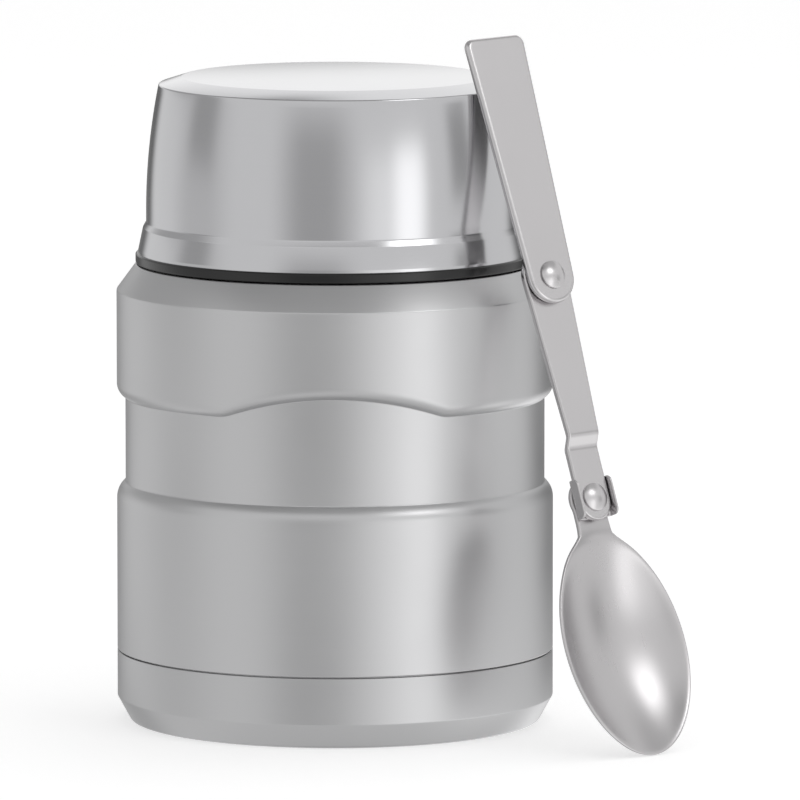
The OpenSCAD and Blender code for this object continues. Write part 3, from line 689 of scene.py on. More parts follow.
def steel(name, colour, roughness, grain_mm, relief_mm, cloud=0.04, lay=None):
    """Stainless steel with a fine one-way grain, faint clouding and slightly uneven gloss.

    grain_mm is the spacing of the grain lines and relief_mm their depth; lay turns the grain
    along a piece instead of round the jar's axis.
    """
    made, tree, shader, place = material(name)
    per_metre = 1 / (grain_mm * MM)
    if lay is None:
        grain_at = around_axis(tree, place, per_metre, 1 / (ROUND_GRAIN_MM * MM))
    else:
        along = add(tree, "ShaderNodeMapping", {"Vector": place, "Rotation": lay})
        grain_at = add(tree, "ShaderNodeVectorMath",
                       (along, (per_metre, per_metre, 1 / (STRIP_GRAIN_MM * MM))), operation="MULTIPLY")
    grain = add(tree, "ShaderNodeTexNoise",
                {"Vector": grain_at, "Scale": 1.0, "Detail": 3.0, "Roughness": 0.6}).outputs["Fac"]
    clouds = add(tree, "ShaderNodeTexNoise",
                 {"Vector": place, "Scale": CLOUDS_PER_M, "Detail": 4.0, "Roughness": 0.55}).outputs["Fac"]
    cloud_part = add(tree, MATH, (clouds, 0.7), operation="MULTIPLY")
    grain_part = add(tree, MATH, (grain, 0.3), operation="MULTIPLY")
    tone = add(tree, MATH, (cloud_part, grain_part), operation="ADD")
    light = [min(1, c * (1 + cloud)) for c in colour] + [1]
    dark = [c * (1 - cloud) for c in colour] + [1]
    # For colours, a Mix node's share is input 0, its colours are inputs 6 and 7, and output 2 is theirs.
    mix = add(tree, "ShaderNodeMix", {0: tone, 6: dark, 7: light}, data_type="RGBA")
    tree.links.new(mix.outputs[2], shader.inputs["Base Color"])
    rough = add(tree, "ShaderNodeMapRange",
                {"Value": tone, "From Min": 0.3, "From Max": 0.7, "To Min": roughness * 0.9,
                 "To Max": roughness * 1.1})
    tree.links.new(rough.outputs[0], shader.inputs["Roughness"])
    bump = add(tree, "ShaderNodeBump", {"Height": grain, "Strength": 0.5, "Distance": relief_mm * MM})
    tree.links.new(bump.outputs[0], shader.inputs["Normal"])
    shader.inputs["Metallic"].default_value = 1.0
    return made


def moulded(name, colour, roughness, grain_mm, relief_mm, ior=1.5):
    """Injection-moulded plastic or rubber with the fine spark-eroded grain of its mould."""
    made, tree, shader, place = material(name)
    grain = add(tree, "ShaderNodeTexNoise",
                {"Vector": place, "Scale": 1 / (grain_mm * MM), "Detail": 2.0}).outputs["Fac"]
    flow = add(tree, "ShaderNodeTexNoise",
               {"Vector": place, "Scale": FLOWS_PER_M, "Detail": 3.0}).outputs["Fac"]
    light = [min(1, c * 1.2) for c in colour] + [1]
    dark = [c * 0.85 for c in colour] + [1]
    mix = add(tree, "ShaderNodeMix", {0: flow, 6: dark, 7: light}, data_type="RGBA")
    tree.links.new(mix.outputs[2], shader.inputs["Base Color"])
    rough = add(tree, "ShaderNodeMapRange",
                {"Value": grain, "To Min": roughness * 0.85, "To Max": roughness * 1.15})
    tree.links.new(rough.outputs[0], shader.inputs["Roughness"])
    bump = add(tree, "ShaderNodeBump", {"Height": grain, "Strength": 0.6, "Distance": relief_mm * MM})
    tree.links.new(bump.outputs[0], shader.inputs["Normal"])
    shader.inputs["IOR"].default_value = ior
    return made


def finish_named(context, name):
    """The finish for a piece, made on first use."""
    if name in bpy.data.materials:
        return bpy.data.materials[name]
    f = context.scene.food_jar.finish
    if name in ("Tumbled spoon steel", "Bowl steel with painted shade", "Rivet steel"):
        lay = all_sizes(context)[3].place.to_3x3().inverted().to_euler()
    makers = {
        # Satin stainless steel, brushed on the turning jar: soft upright bands of light. The
        # real lines are 0.05 mm apart and are drawn coarser, so that they show at all.
        "Satin body steel": lambda: steel(name, f.body, 0.38, 0.4, 0.004),
        # The same sheet pressed into the base cup, a little duller.
        "Satin base steel": lambda: steel(name, [c * 0.96 for c in f.body], 0.4, 0.4, 0.004),
        # Finer brushed and buffed: the bands are sharper.
        "Bright lid steel": lambda: steel(name, f.lid, 0.16, 0.35, 0.002, 0.03),
        # Electropolished after forming: clean, bright and faintly warm.
        "Electropolished steel": lambda: steel(name, f.vessel, 0.2, 0.6, 0.003, 0.05),
        # Unfinished rolled sheet of the vacuum bottom and the washers: grey and dull.
        "Mill finish steel": lambda: steel(name, [c * 0.8 for c in f.vessel], 0.42, 0.5, 0.004, 0.09),
        # Stamped strip, tumbled smooth, with a trace of its rolling grain along the length.
        "Tumbled spoon steel": lambda: steel(name, f.spoon, 0.25, 0.5, 0.002, 0.03, lay),
        # The bowl is the spoon's own steel, a little duller, with its colour darkened as painted shade for
        # its hollow.
        "Bowl steel with painted shade": lambda: steel(name, [c * 0.93 for c in f.spoon], 0.28, 0.6, 0.002, 0.03, lay),
        # Headed wire with the soft sheen that the setting tool leaves.
        "Rivet steel": lambda: steel(name, f.spoon, 0.28, 0.5, 0.003, 0.05, lay),
        # Satin black polypropylene with a fine moulded grain.
        "Black moulded plastic": lambda: moulded(name, f.plastic, 0.5, 0.45, 0.015),
        # The liner is the same plastic from a smoother mould, because it touches food.
        "Satin liner plastic": lambda: moulded(name, f.plastic, 0.38, 0.5, 0.006),
        # The ring is the same plastic from a polished mould.
        "Glossy ring plastic": lambda: moulded(name, f.trim, 0.24, 0.6, 0.002),
        # Grey-white silicone: soft sheen, no sharp gloss.
        "Silicone rubber": lambda: moulded(name, f.silicone, 0.55, 0.4, 0.008, 1.41),
        # Blown foam inside the stopper: cream, matt, with open cells at its skin.
        "Insulating foam": lambda: moulded(name, linear("#E6E2D2"), 0.9, 1.2, 0.2, 1.4),
        # Sintered powder of the getter pill: dull, dark and grainy.
        "Sintered getter metal": lambda: moulded(name, linear("#55565A"), 0.7, 0.3, 0.04),
        # Glass solder of the evacuation hole's bead: smooth and glossy from its melt.
        "Sealing glass": lambda: moulded(name, linear("#4A4F4A"), 0.18, 1.5, 0.02, 1.52),
    }
    return makers[name]()


# ------------------------------------------------------------------ the jar


class FOODJAR_OT_shell(bpy.types.Operator):
    """Makes the outer shell: two bands, waist, arched lip, shoulder and neck"""

    bl_idname = "foodjar.shell"
    bl_label = "Outer Shell"

    def execute(self, context):
        j, *_ = all_sizes(context)
        band_turn = math.degrees(math.acos((j.band_round - j.waist_depth) / j.band_round))
        lip_turn = math.degrees(math.acos((j.lip_roll - j.waist_depth) / j.lip_roll))
        band = bow((j.body_r - j.band_round, j.lower_band_z), j.band_round, 0, band_turn, 10)
        lip = bow((j.body_r - j.lip_roll, j.upper_band_z), j.lip_roll, -lip_turn, 0, 12)
        t = j.shell_t
        outside = [
            (j.skirt_r, j.skirt_z), (j.skirt_r, j.base_h), (j.body_r, j.base_h, 0.25), *band[:-1],
            (*band[-1], 0.5), (*lip[0], 0.35), *lip[1:], (j.body_r, j.shoulder_z, 0.7),
            (j.deck_r, j.deck_z, 0.6), (j.neck_r, j.deck_z, 0.9), (j.neck_r, j.rim_z - j.vessel_t),
        ]
        inside = [
            (j.neck_r - t, j.rim_z - j.vessel_t), (j.neck_r - t, j.deck_z - t),
            (j.deck_r - t, j.deck_z - t), (j.body_r - t, j.shoulder_z - t / 2),
            (j.body_r - t, j.upper_band_z), (j.waist_r - t, lip[0][1]),
            (j.waist_r - t, band[-1][1]), (j.body_r - t, j.lower_band_z),
            (j.body_r - t, j.base_h + t), (j.skirt_r - t, j.base_h + t), (j.skirt_r - t, j.skirt_z),
        ]
        shell = turned("jar_shell", fillet(outside + inside), sharp=40)
        # The lip and the step in to the waist below it are marked, for the arch to lift.
        marks = shell.data.attributes.new("lip", "FLOAT", "POINT")
        lowest, highest = lip[0][1] - 1, j.upper_band_z + 0.01
        for vertex, mark in zip(shell.data.vertices, marks.data):
            mark.value = 1.0 if lowest < vertex.co.z / MM < highest else 0.0
        steel_finish = finish_named(context, "Satin body steel")
        apply_rule(shell, arch_rule(), rise=j.arch_rise * MM, half_angle=j.arch_angle,
                   blend=j.arch_blend * MM, material=steel_finish)
        finished(shell, steel_finish, "jar", "brushed_body", "outer_shell")
        return {"FINISHED"}


class FOODJAR_OT_base(bpy.types.Operator):
    """Makes the base cup: wall up to the seam, sloping foot and stamped ring"""

    bl_idname = "foodjar.base"
    bl_label = "Base Cup"

    def execute(self, context):
        j, *_ = all_sizes(context)
        slope = math.atan2(j.foot_w, j.foot_h)
        rise = (j.foot_h - j.foot_round) * math.tan(slope)
        corner = (j.body_r - rise - j.foot_round / math.cos(slope), j.foot_round)
        t, top = j.base_t, j.base_h - j.seam_gap
        outer = bow(corner, j.foot_round, -90, -math.degrees(slope), 8)
        inner = bow(corner, j.foot_round - t, -math.degrees(slope), -90, 6)
        profile = [
            (0, 0), (j.bead_r, 0, 0.5), (j.bead_r, j.bead_h, 0.4),
            (j.bead_r + j.bead_w, j.bead_h, 0.4), (j.bead_r + j.bead_w, 0, 0.5),
            *outer, (j.body_r, j.foot_h, 0.7), (j.body_r, top, 0.2), (j.body_r - t, top),
            (j.body_r - t, j.foot_h + t * math.tan(slope / 2)), *inner,
            (j.bead_r + j.bead_w + t, t), (j.bead_r + j.bead_w + t, j.bead_h + t, 0.4),
            (j.bead_r - t, j.bead_h + t, 0.4), (j.bead_r - t, t), (0, t),
        ]
        cup = turned("jar_base", fillet(profile, closed=False), closed=False, sharp=40)
        finished(cup, finish_named(context, "Satin base steel"), "jar", "brushed_base", "base_cup")
        return {"FINISHED"}


class FOODJAR_OT_vessel(bpy.types.Operator):
    """Makes the inner vessel that holds the food, with its rolled rim"""

    bl_idname = "foodjar.vessel"
    bl_label = "Inner Vessel"

    def execute(self, context):
        j, *_ = all_sizes(context)
        t, slope = j.vessel_t, j.vessel_r - j.mouth_r
        # The wall draws in to the mouth at 45 degrees, so the outer face turns a little higher.
        inner_top = j.deck_z - 1
        outer_top = inner_top + t * math.tan(math.radians(45 / 2))
        bend, brim = 2.5, 0.24
        corner = (j.vessel_r - j.floor_round, j.floor_z + j.floor_round)
        profile = [
            (0, j.floor_z), *bow(corner, j.floor_round, -90, 0, 14),
            (j.vessel_r, inner_top - slope, bend), (j.mouth_r, inner_top, bend),
            (j.mouth_r, j.rim_z, brim), (j.neck_r, j.rim_z, brim), (j.neck_r, j.rim_z - t),
            (j.mouth_r + t, j.rim_z - t), (j.mouth_r + t, outer_top, bend),
            (j.vessel_r + t, outer_top - slope, bend),
            *bow(corner, j.floor_round + t, 0, -90, 14), (0, j.floor_z - t),
        ]
        vessel = turned("food_vessel", fillet(profile, closed=False), closed=False, sharp=40)
        finish = finish_named(context, "Electropolished steel")
        finished(vessel, finish, "jar", "vessel_steel", "inner_vessel")
        return {"FINISHED"}


class FOODJAR_OT_hidden(bpy.types.Operator):
    """Dresses the sealed pieces whose solids stay: vacuum bottom, bead, getter and foam"""

    bl_idname = "foodjar.hidden"
    bl_label = "Sealed Pieces"

    def execute(self, context):
        dressed = {
            "vacuum_base": "Mill finish steel",
            "seal_plug": "Sealing glass",
            "getter": "Sintered getter metal",
            "stopper_foam": "Insulating foam",
        }
        for node, finish in dressed.items():
            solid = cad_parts[node]
            solid.data.materials.clear()
            solid.data.materials.append(finish_named(context, finish))
        return {"FINISHED"}


# ------------------------------------------------------------------ stopper


class FOODJAR_OT_stopper(bpy.types.Operator):
    """Makes the stopper's plug and its two-lipped sealing ring"""

    bl_idname = "foodjar.stopper"
    bl_label = "Stopper Plug"

    def execute(self, context):
        j, p, *_ = all_sizes(context)
        low = p.plug_z + p.gasket_up
        high = low + p.gasket_h
        groove = p.plug_r - p.gasket_depth
        narrow, wide = groove - p.plug_t, p.plug_r - p.plug_t
        step = high + p.plug_t
        panel_in, panel_out, panel_h = 12, 26, 0.5  # the shallow ring sunk into the underside
        panel_z = p.plug_z + panel_h
        profile = [
            (0, p.plug_z), (panel_in, p.plug_z, 0.3), (panel_in + panel_h, panel_z, 0.3),
            (panel_out - panel_h, panel_z, 0.3), (panel_out, p.plug_z, 0.3),
            (p.plug_r - 1, p.plug_z, 0.5), (p.plug_r, p.plug_z + 1, 0.5),
            (p.plug_r, low, 0.2), (groove, low), (groove, high), (p.plug_r, high, 0.2),
            (p.plug_r, p.seat_z, 0.3), (p.flange_r, p.seat_z, 0.3), (p.flange_r, p.flange_z, 0.5),
            (wide, p.flange_z), (wide, step + p.gasket_depth), (narrow, step),
            (narrow, p.plug_z + p.plug_t), (0, p.plug_z + p.plug_t),
        ]
        plug = turned("stopper_body", fillet(profile, closed=False), closed=False, sharp=40)
        plastic = finish_named(context, "Black moulded plastic")
        finished(plug, plastic, "stopper", "stopper_plastic", "stopper_plug")
        reach, root, h = j.mouth_r - 0.3, groove + 0.02, p.gasket_h
        lips = [
            (root, 0.02), (p.plug_r - 0.3, 0.02, 0.2), (reach, 0.15 * h, 0.25), (reach, 0.3 * h, 0.25),
            (p.plug_r - 0.3, 0.5 * h, 0.3), (reach, 0.7 * h, 0.25), (reach, 0.85 * h, 0.25),
            (p.plug_r - 0.3, h - 0.02, 0.2), (root, h - 0.02),
        ]
        ring = turned("sealing_ring", fillet([(r, z + low, *more) for r, z, *more in lips]), sharp=50)
        silicone = finish_named(context, "Silicone rubber")
        finished(ring, silicone, "stopper", "silicone", "stopper_gasket")
        return {"FINISHED"}


class FOODJAR_OT_cap(bpy.types.Operator):
    """Makes the stopper's cap: grip hollows outside, and the recess for the folded spoon inside"""

    bl_idname = "foodjar.cap"
    bl_label = "Stopper Cap"

    def execute(self, context):
        _, p, _, s = all_sizes(context)
        around = 720
        half_l = (s.bowl_reach + s.tab_w / 2 + s.tab_drop) / 2 + p.recess_gap
        pocket_r, slot_r = s.bowl_w / 2 + p.recess_gap, s.handle_w / 2 + p.recess_gap
        far_x = half_l - pocket_r
        near_x = half_l - s.bowl_l - 2 * p.recess_gap + pocket_r
        slot_x = slot_r - half_l

        def stadium(a, x0, x1, radius):
            """Distance from the axis to the edge of a long round pocket, at an angle."""
            c, n = math.cos(a), abs(math.sin(a))
            reach = radius / n if n > 1e-9 else 1e9
            if x0 <= reach * c <= x1:
                return reach
            end = x1 if c > 0 else x0
            inner = radius**2 - (end * n) ** 2
            return end * c + math.sqrt(max(inner, 0))

        angles = [2 * math.pi * k / around for k in range(around)]
        pocket = [stadium(a, near_x, far_x, pocket_r) for a in angles]
        slot = [stadium(a, slot_x, 0, slot_r) if math.cos(a) < 0 else 0 for a in angles]
        mouth = [max(a, b) for a, b in zip(pocket, slot)]
        base_z, top_z = p.flange_z, p.cap_z
        slot_z, floor_z = top_z - p.recess_h + p.slot_rise, top_z - p.recess_h
        shoulder = bow((p.cap_r - p.cap_round, top_z - p.cap_round), p.cap_round, 0, 90, 8)
        grip_z = base_z + 2.25
        rings = [
            (0, base_z), (p.cap_r - 0.8, base_z), (p.cap_r - 0.4, base_z + 0.25),
            (p.cap_r, base_z + 0.8), (p.cap_r, base_z + 2), (p.cap_r, grip_z), *shoulder,
        ]
        edge = ((0.45, 0), (0.17, 0.12), (0.03, 0.28), (0, 0.45))
        rings += [([m + out for m in mouth], top_z - down) for out, down in edge]
        rings += [(mouth, slot_z), ([q + 0.01 for q in pocket], slot_z)]
        rings += [(pocket, slot_z - 0.25), (pocket, floor_z + 0.6)]
        rings += [([q - 0.6 for q in pocket], floor_z), (0, floor_z)]
        points, faces = [], []
        for radius, z in rings:
            radii = radius if isinstance(radius, list) else [radius] * around
            points += [(r * math.cos(a), r * math.sin(a), z) for r, a in zip(radii, angles)]
        for r in range(len(rings) - 1):
            for k in range(around):
                n = (k + 1) % around
                faces.append((r * around + k, r * around + n, (r + 1) * around + n, (r + 1) * around + k))
        cap = mesh_piece("stopper_cap_top", points, faces, sharp=38)
        marks = cap.data.attributes.new("grip", "FLOAT", "POINT")
        for vertex, mark in zip(cap.data.vertices, marks.data):
            across = math.hypot(vertex.co.x, vertex.co.y) / MM
            high = vertex.co.z / MM > grip_z - 0.05
            mark.value = 1.0 if high and across > p.cap_r - p.cap_round - 0.01 else 0.0
        plastic = finish_named(context, "Black moulded plastic")
        apply_rule(cap, grip_rule(), grips=p.grips, cap_radius=p.cap_r * MM, grip_radius=p.grip_r * MM,
                   grip_depth=p.grip_depth * MM, material=plastic)
        finished(cap, plastic, "stopper", "cap_plastic", "stopper_cap")
        return {"FINISHED"}


# ------------------------------------------------------------------ lid


class FOODJAR_OT_lid(bpy.types.Operator):
    """Makes the lid's steel shell, its liner and the black ring under it"""

    bl_idname = "foodjar.lid"
    bl_label = "Serving Lid"

    def execute(self, context):
        *_, lid, _ = all_sizes(context)
        centre = (lid.wall_r - lid.wall_arc, lid.wall_z)

        def wall(inset, top, steps):
            """The wall's curve at an inset, up to a height."""
            radius = lid.wall_arc - inset
            return bow(centre, radius, 0, math.degrees(math.asin((top - lid.wall_z) / radius)), steps)

        t = lid.lid_t
        step_z, hem_z = lid.crease_z - 1.3, lid.low_z + 0.6
        outer = wall(0, lid.rim_z, 16)
        shell = [
            (0, lid.top_z), (lid.rim_r - lid.bevel_w, lid.top_z, 1.6), (*outer[-1], 0.45),
            *outer[-2::-1], (lid.wall_r, lid.crease_z, 0.9),
            (lid.wall_r + lid.skirt_step, step_z, 0.8), (lid.lid_r, hem_z, 0.5),
            (lid.lid_r, lid.low_z), (lid.lid_r - t, lid.low_z), (lid.lid_r - t, hem_z),
            (lid.wall_r + lid.skirt_step - t, step_z), (lid.wall_r - t, lid.crease_z),
            *wall(t, lid.rim_z - 0.8 * t, 10), (lid.rim_r - lid.bevel_w, lid.top_z - t), (0, lid.top_z - t),
        ]
        steel_shell = turned("lid_steel_shell", fillet(shell, closed=False), closed=False, sharp=42)
        bright = finish_named(context, "Bright lid steel")
        finished(steel_shell, bright, "lid", "lid_steel", "lid_shell")

        roof = lid.top_z - lid.lid_t - lid.roof_air
        turn_z = roof - lid.liner_round

        def lining(inset, skirt, steps):
            """The liner's face at an inset, from its lower edge to its roof."""
            in_wall = lid.lid_t + lid.lid_air + inset
            corner = lid.liner_round - inset
            reach = math.sqrt((lid.wall_arc - in_wall) ** 2 - (turn_z - lid.wall_z) ** 2)
            corner_r = centre[0] + reach - corner
            return [
                (skirt, lid.low_z), (skirt, lid.crease_z - 1.6), *wall(in_wall, turn_z, steps),
                *bow((corner_r, turn_z), corner, 15, 90, 8), (0, roof - inset),
            ]

        outer_skirt = lid.wall_r + lid.skirt_step - lid.lid_t - 0.1
        section = lining(0, outer_skirt, 10)[::-1] + lining(lid.liner_t, lid.bore_r, 10)
        liner = turned("lid_inner_liner", fillet(section, closed=False), closed=False, sharp=40)
        finished(liner, finish_named(context, "Satin liner plastic"), "lid", "liner_plastic", "lid_liner")

        ring = [
            (lid.bore_r, lid.trim_z), (lid.trim_r - 0.15, lid.trim_z, 0.4),
            (lid.trim_r, lid.trim_z + 0.4, 0.3), (lid.trim_r, lid.low_z - 0.3, 0.2),
            (lid.trim_r - 0.3, lid.low_z, 0.15), (lid.bore_r, lid.low_z),
        ]
        trim = turned("lid_black_ring", fillet(ring), sharp=50)
        finished(trim, finish_named(context, "Glossy ring plastic"), "lid", "trim_plastic", "lid_trim")
        return {"FINISHED"}


class FOODJAR_OT_threads(bpy.types.Operator):
    """Makes the threads of the neck, the lid, the mouth and the plug"""

    bl_idname = "foodjar.threads"
    bl_label = "Threads"

    def execute(self, context):
        j, p, lid, _ = all_sizes(context)
        rule = thread_rule()
        rib, pitch = 0.5, 4
        threads = (
            # name, finish, body, slot, radius of the wall, start height, turns, start angle
            ("neck_thread", "Satin body steel", "jar", "brushed_body",
             j.neck_r, j.deck_z + 3.4, 1.5, 0),
            ("lid_thread", "Satin liner plastic", "lid", "liner_plastic",
             lid.bore_r, lid.low_z + 0.9, 0.7, 3),
            ("mouth_thread", "Electropolished steel", "jar", "vessel_steel",
             j.mouth_r, j.rim_z - 5.6, 0.9, 1),
            ("plug_thread", "Black moulded plastic", "stopper", "stopper_plastic",
             p.plug_r, j.rim_z - 9.6, 1.4, 2),
        )
        for name, finish, body, slot, wall, start, turns, angle in threads:
            seed = mesh_piece(name, [(0, 0, 0)], [])
            made = finish_named(context, finish)
            apply_rule(seed, rule, radius=wall * MM, turns=turns, pitch=pitch * MM, rib=rib * MM,
                       start_height=start * MM, start_angle=float(angle), material=made)
            finished(seed, made, body, slot)
        return {"FINISHED"}


# ------------------------------------------------------------------ folding spoon


def taper(points):
    """A value that follows (position, value) points in straight lines."""
    xs, ys = zip(*sorted(points))
    return lambda at: float(np.interp(at, xs, ys))


def round_end(centre, radius, up, steps=18):
    """Rows of (z, half width) round a full round end, from its tip to its widest."""
    sign = 1 if up else -1
    spots = [math.pi / 2 * i / steps for i in range(steps + 1)]
    return [(centre + sign * radius * math.cos(a), radius * math.sin(a)) for a in spots]


def round_corners(top, half_w, radius, edge):
    """Rows of (z, half width) down a square end with rounded corners."""
    rows = []
    downs = [edge * f for f in EDGE_STEPS]
    downs += [radius * f for f in (0.4, 0.55, 0.7, 0.85, 1)]
    for down in sorted(set(d for d in downs if d <= radius)):
        up = radius - down
        rows.append((top - down, half_w - radius + math.sqrt(radius**2 - up**2)))
    return rows


class FOODJAR_OT_handle(bpy.types.Operator):
    """Makes the folding spoon's handle"""

    bl_idname = "foodjar.handle"
    bl_label = "Spoon Handle"

    def execute(self, context):
        s = all_sizes(context)[3]
        edge, corner = 0.8, 2
        top = s.link_l + s.handle_l
        sides = taper([(s.link_l, s.hinge_w / 2), (top - corner, s.handle_w / 2)])
        middle = np.linspace(top - corner, s.link_l, 26)[1:-1]
        rows = round_corners(top, s.handle_w / 2, corner, edge)
        rows += [(z, sides(z)) for z in middle]
        rows += round_end(s.link_l, s.hinge_w / 2, up=False)[::-1]
        handle = strip("spoon_handle_plate", rows, lambda x, z: s.handle_y,
                       lambda x, z: s.handle_y + s.handle_t, edge)
        punched(handle, [s.link_l], s.rivet_r + s.run_gap, s.handle_y - 1, 1)
        placed(handle, s.place)
        finish = finish_named(context, "Tumbled spoon steel")
        finished(handle, finish, "spoon_top", "handle_steel", "spoon_handle")
        return {"FINISHED"}


class FOODJAR_OT_link(bpy.types.Operator):
    """Makes the spoon's middle link, with the joggle at its lower end"""

    bl_idname = "foodjar.link"
    bl_label = "Spoon Link"

    def execute(self, context):
        s = all_sizes(context)[3]
        edge, end_r, tab_r = 0.4, s.hinge_w / 2 - 0.2, s.tab_w / 2
        past, bend = 9, 1.6
        path = fillet([(s.link_l + past, 0), (s.high, 0, bend), (s.joggle_z, s.joggle, bend),
                       (-past, s.joggle)], closed=False)
        depth = taper(path)
        sides = taper([(s.high, tab_r), (s.link_l, end_r)])
        # The rows lie closer together over the joggle and a little above and below it.
        close_top, close_low = s.high + 2, s.joggle_z - 2
        rows = round_end(s.link_l, end_r, up=True)
        rows += [(z, sides(z)) for z in np.linspace(s.link_l, close_top, 16)[1:]]
        rows += [(z, sides(z)) for z in np.linspace(close_top, close_low, 24)[1:]]
        rows += [(z, tab_r) for z in np.linspace(close_low, -s.tab_drop, 8)[1:-1]]
        rows += round_end(-s.tab_drop, tab_r, up=False)[::-1]
        link = strip("spoon_link_plate", rows, lambda x, z: depth(z), lambda x, z: depth(z) + s.link_t, edge)
        punched(link, [s.link_l, 0], s.rivet_r + 0.02, -1, s.joggle + s.link_t + 1)
        placed(link, s.place)
        finish = finish_named(context, "Tumbled spoon steel")
        finished(link, finish, "spoon_middle", "link_steel", "spoon_link")
        return {"FINISHED"}


class FOODJAR_OT_saddle(bpy.types.Operator):
    """Makes the saddle: a plate behind the link with an ear bent up at each side"""

    bl_idname = "foodjar.saddle"
    bl_label = "Hinge Saddle"

    def execute(self, context):
        s = all_sizes(context)[3]
        t, bend_r, corner_r, side_gap = s.saddle_t, 0.7, 1.4, 0.2
        wall_x = s.tab_w / 2 + side_gap + t / 2
        plate_y = s.saddle_y + t / 2
        front_y = s.saddle_y + t - s.ear_h
        flat, quarter = wall_x - bend_r, math.pi / 2 * bend_r
        ear = plate_y - bend_r - front_y
        total = flat + quarter + ear

        def folded(x, y, z):
            """Wraps the flat blank round the two bends of the saddle."""
            way, n = abs(x), y
            if way <= flat:
                px, py = way, plate_y + n
            elif way <= flat + quarter:
                a = (way - flat) / bend_r
                px = flat + (bend_r + n) * math.sin(a)
                py = plate_y - bend_r + (bend_r + n) * math.cos(a)
            else:
                px, py = wall_x + n, plate_y - bend_r - (way - flat - quarter)
            return math.copysign(px, x), py, z

        top = round_corners(s.ear_l / 2, total, corner_r, t / 2)
        rows = top + [(z, total) for z in (1.6, 0.8, 0, -0.8, -1.6)] + [(-z, w) for z, w in top[::-1]]
        saddle = strip("hinge_saddle_plate", rows, lambda x, z: -t / 2, lambda x, z: t / 2,
                       t * 0.45, bend=folded, columns=40)
        placed(saddle, s.place)
        finish = finish_named(context, "Tumbled spoon steel")
        finished(saddle, finish, "spoon_middle", "saddle_steel", "hinge_saddle")
        return {"FINISHED"}


class FOODJAR_OT_bowl(bpy.types.Operator):
    """Makes the spoon's bowl with its neck and flat tang"""

    bl_idname = "foodjar.bowl"
    bl_label = "Spoon Bowl"

    def execute(self, context):
        s = all_sizes(context)[3]
        half_w, deep = s.bowl_w / 2, s.bowl_h + s.bowl_t
        axis_out = (half_w**2 / deep - deep) / 2
        long_arc = bend_radius(deep, s.bowl_l / 2)
        neck_z = s.bowl_l - s.bowl_reach
        tang_r = s.tab_w / 2 + 0.5
        neck_w = s.tab_w / 2 + 0.1
        mid_z = neck_z - s.bowl_l / 2

        def section(z, inset):
            """Radius of the bowl's round section at a height, at an inset."""
            off = z - neck_z + s.bowl_l / 2
            rest = (long_arc - inset) ** 2 - off**2
            return axis_out + deep - long_arc + math.sqrt(max(rest, 0))

        def oval(z):
            """Half width of the bowl's rim at a height."""
            return math.sqrt(max(section(z, 0) ** 2 - axis_out**2, 0))

        def blend(a, b, soft):
            """The larger of two values, with a soft change from one to the other."""
            return (a + b + math.sqrt((a - b) ** 2 + soft**2)) / 2

        fillet_w = taper([(-4.5, 0), (neck_z - 0.5, 2.6), (neck_z - 5, 2.2), (neck_z - 12, 0)])

        def half(z):
            """Half width of the whole piece at a height, with a soft neck."""
            return blend(oval(z), neck_w, fillet_w(z)) if z > mid_z else oval(z)

        def lean(z):
            """How far the bowl comes forward on its way to the tip."""
            return -s.tip_forward * max(0, neck_z - z) / s.bowl_l

        def dish(x, z, inset):
            """Depth of the bowl's surface behind the plane of its rim."""
            return math.sqrt(max(section(z, inset) ** 2 - x * x, 0)) - axis_out

        # The sheet is drawn thinner in the wall than at the rim, so that the hollow runs right out
        # to the rim's narrow edge.
        face_inset, rear_inset, rim_soft, least_t = 0.3, -0.05, 0.3, 0.45
        rise = taper([(neck_z + 3.5, 0.05), (neck_z - 1, 0.9), (neck_z - 10, 0.3)])
        rim_t = taper([(neck_z, s.tang_t), (neck_z - 8, 0.8)])

        def face(x, z):
            """The bowl's inner face, which runs softly into the neck."""
            return s.tang_y + lean(z) + blend(dish(x, z, face_inset), 0, rise(z))

        def rear(x, z):
            """The bowl's outer face, at least the rim's thickness behind its plane."""
            outside = blend(dish(x, z, rear_inset), rim_t(z), rim_soft)
            return max(s.tang_y + lean(z) + outside, face(x, z) + least_t)

        tip, tip_lift = -s.bowl_reach, 0.25
        half_l = s.bowl_l / 2
        spots = [mid_z - half_l * math.cos(a) for a in np.linspace(0, math.pi / 2, 46)]
        lower = [(z + tip_lift * (mid_z - z) / half_l, half(z)) for z in spots]
        lower[0] = (tip + tip_lift, 0)
        upper = [(z, half(z)) for z in np.linspace(mid_z, -4.6, 64)[1:]]
        sides = [(z, neck_w) for z in (-3.6, -2.4)]
        crown = [(tang_r * math.sin(a), tang_r * math.cos(a))
                 for a in np.linspace(math.radians(-20), math.pi / 2, 26)]
        crown = [(z, max(w, neck_w) if z < 0 else w) for z, w in crown]
        bowl = strip("spoon_bowl_dish", lower + upper + sides + crown, face, rear, 0.38, columns=22)
        punched(bowl, [0], s.rivet_r + s.run_gap, s.tang_y - 1, s.tang_y + s.tang_t + 1)
        placed(bowl, s.place)
        # The bowl's steel is darker than the handle's: painted shade.
        finish = finish_named(context, "Bowl steel with painted shade")
        finished(bowl, finish, "spoon_end", "bowl_steel", "spoon_bowl")
        return {"FINISHED"}


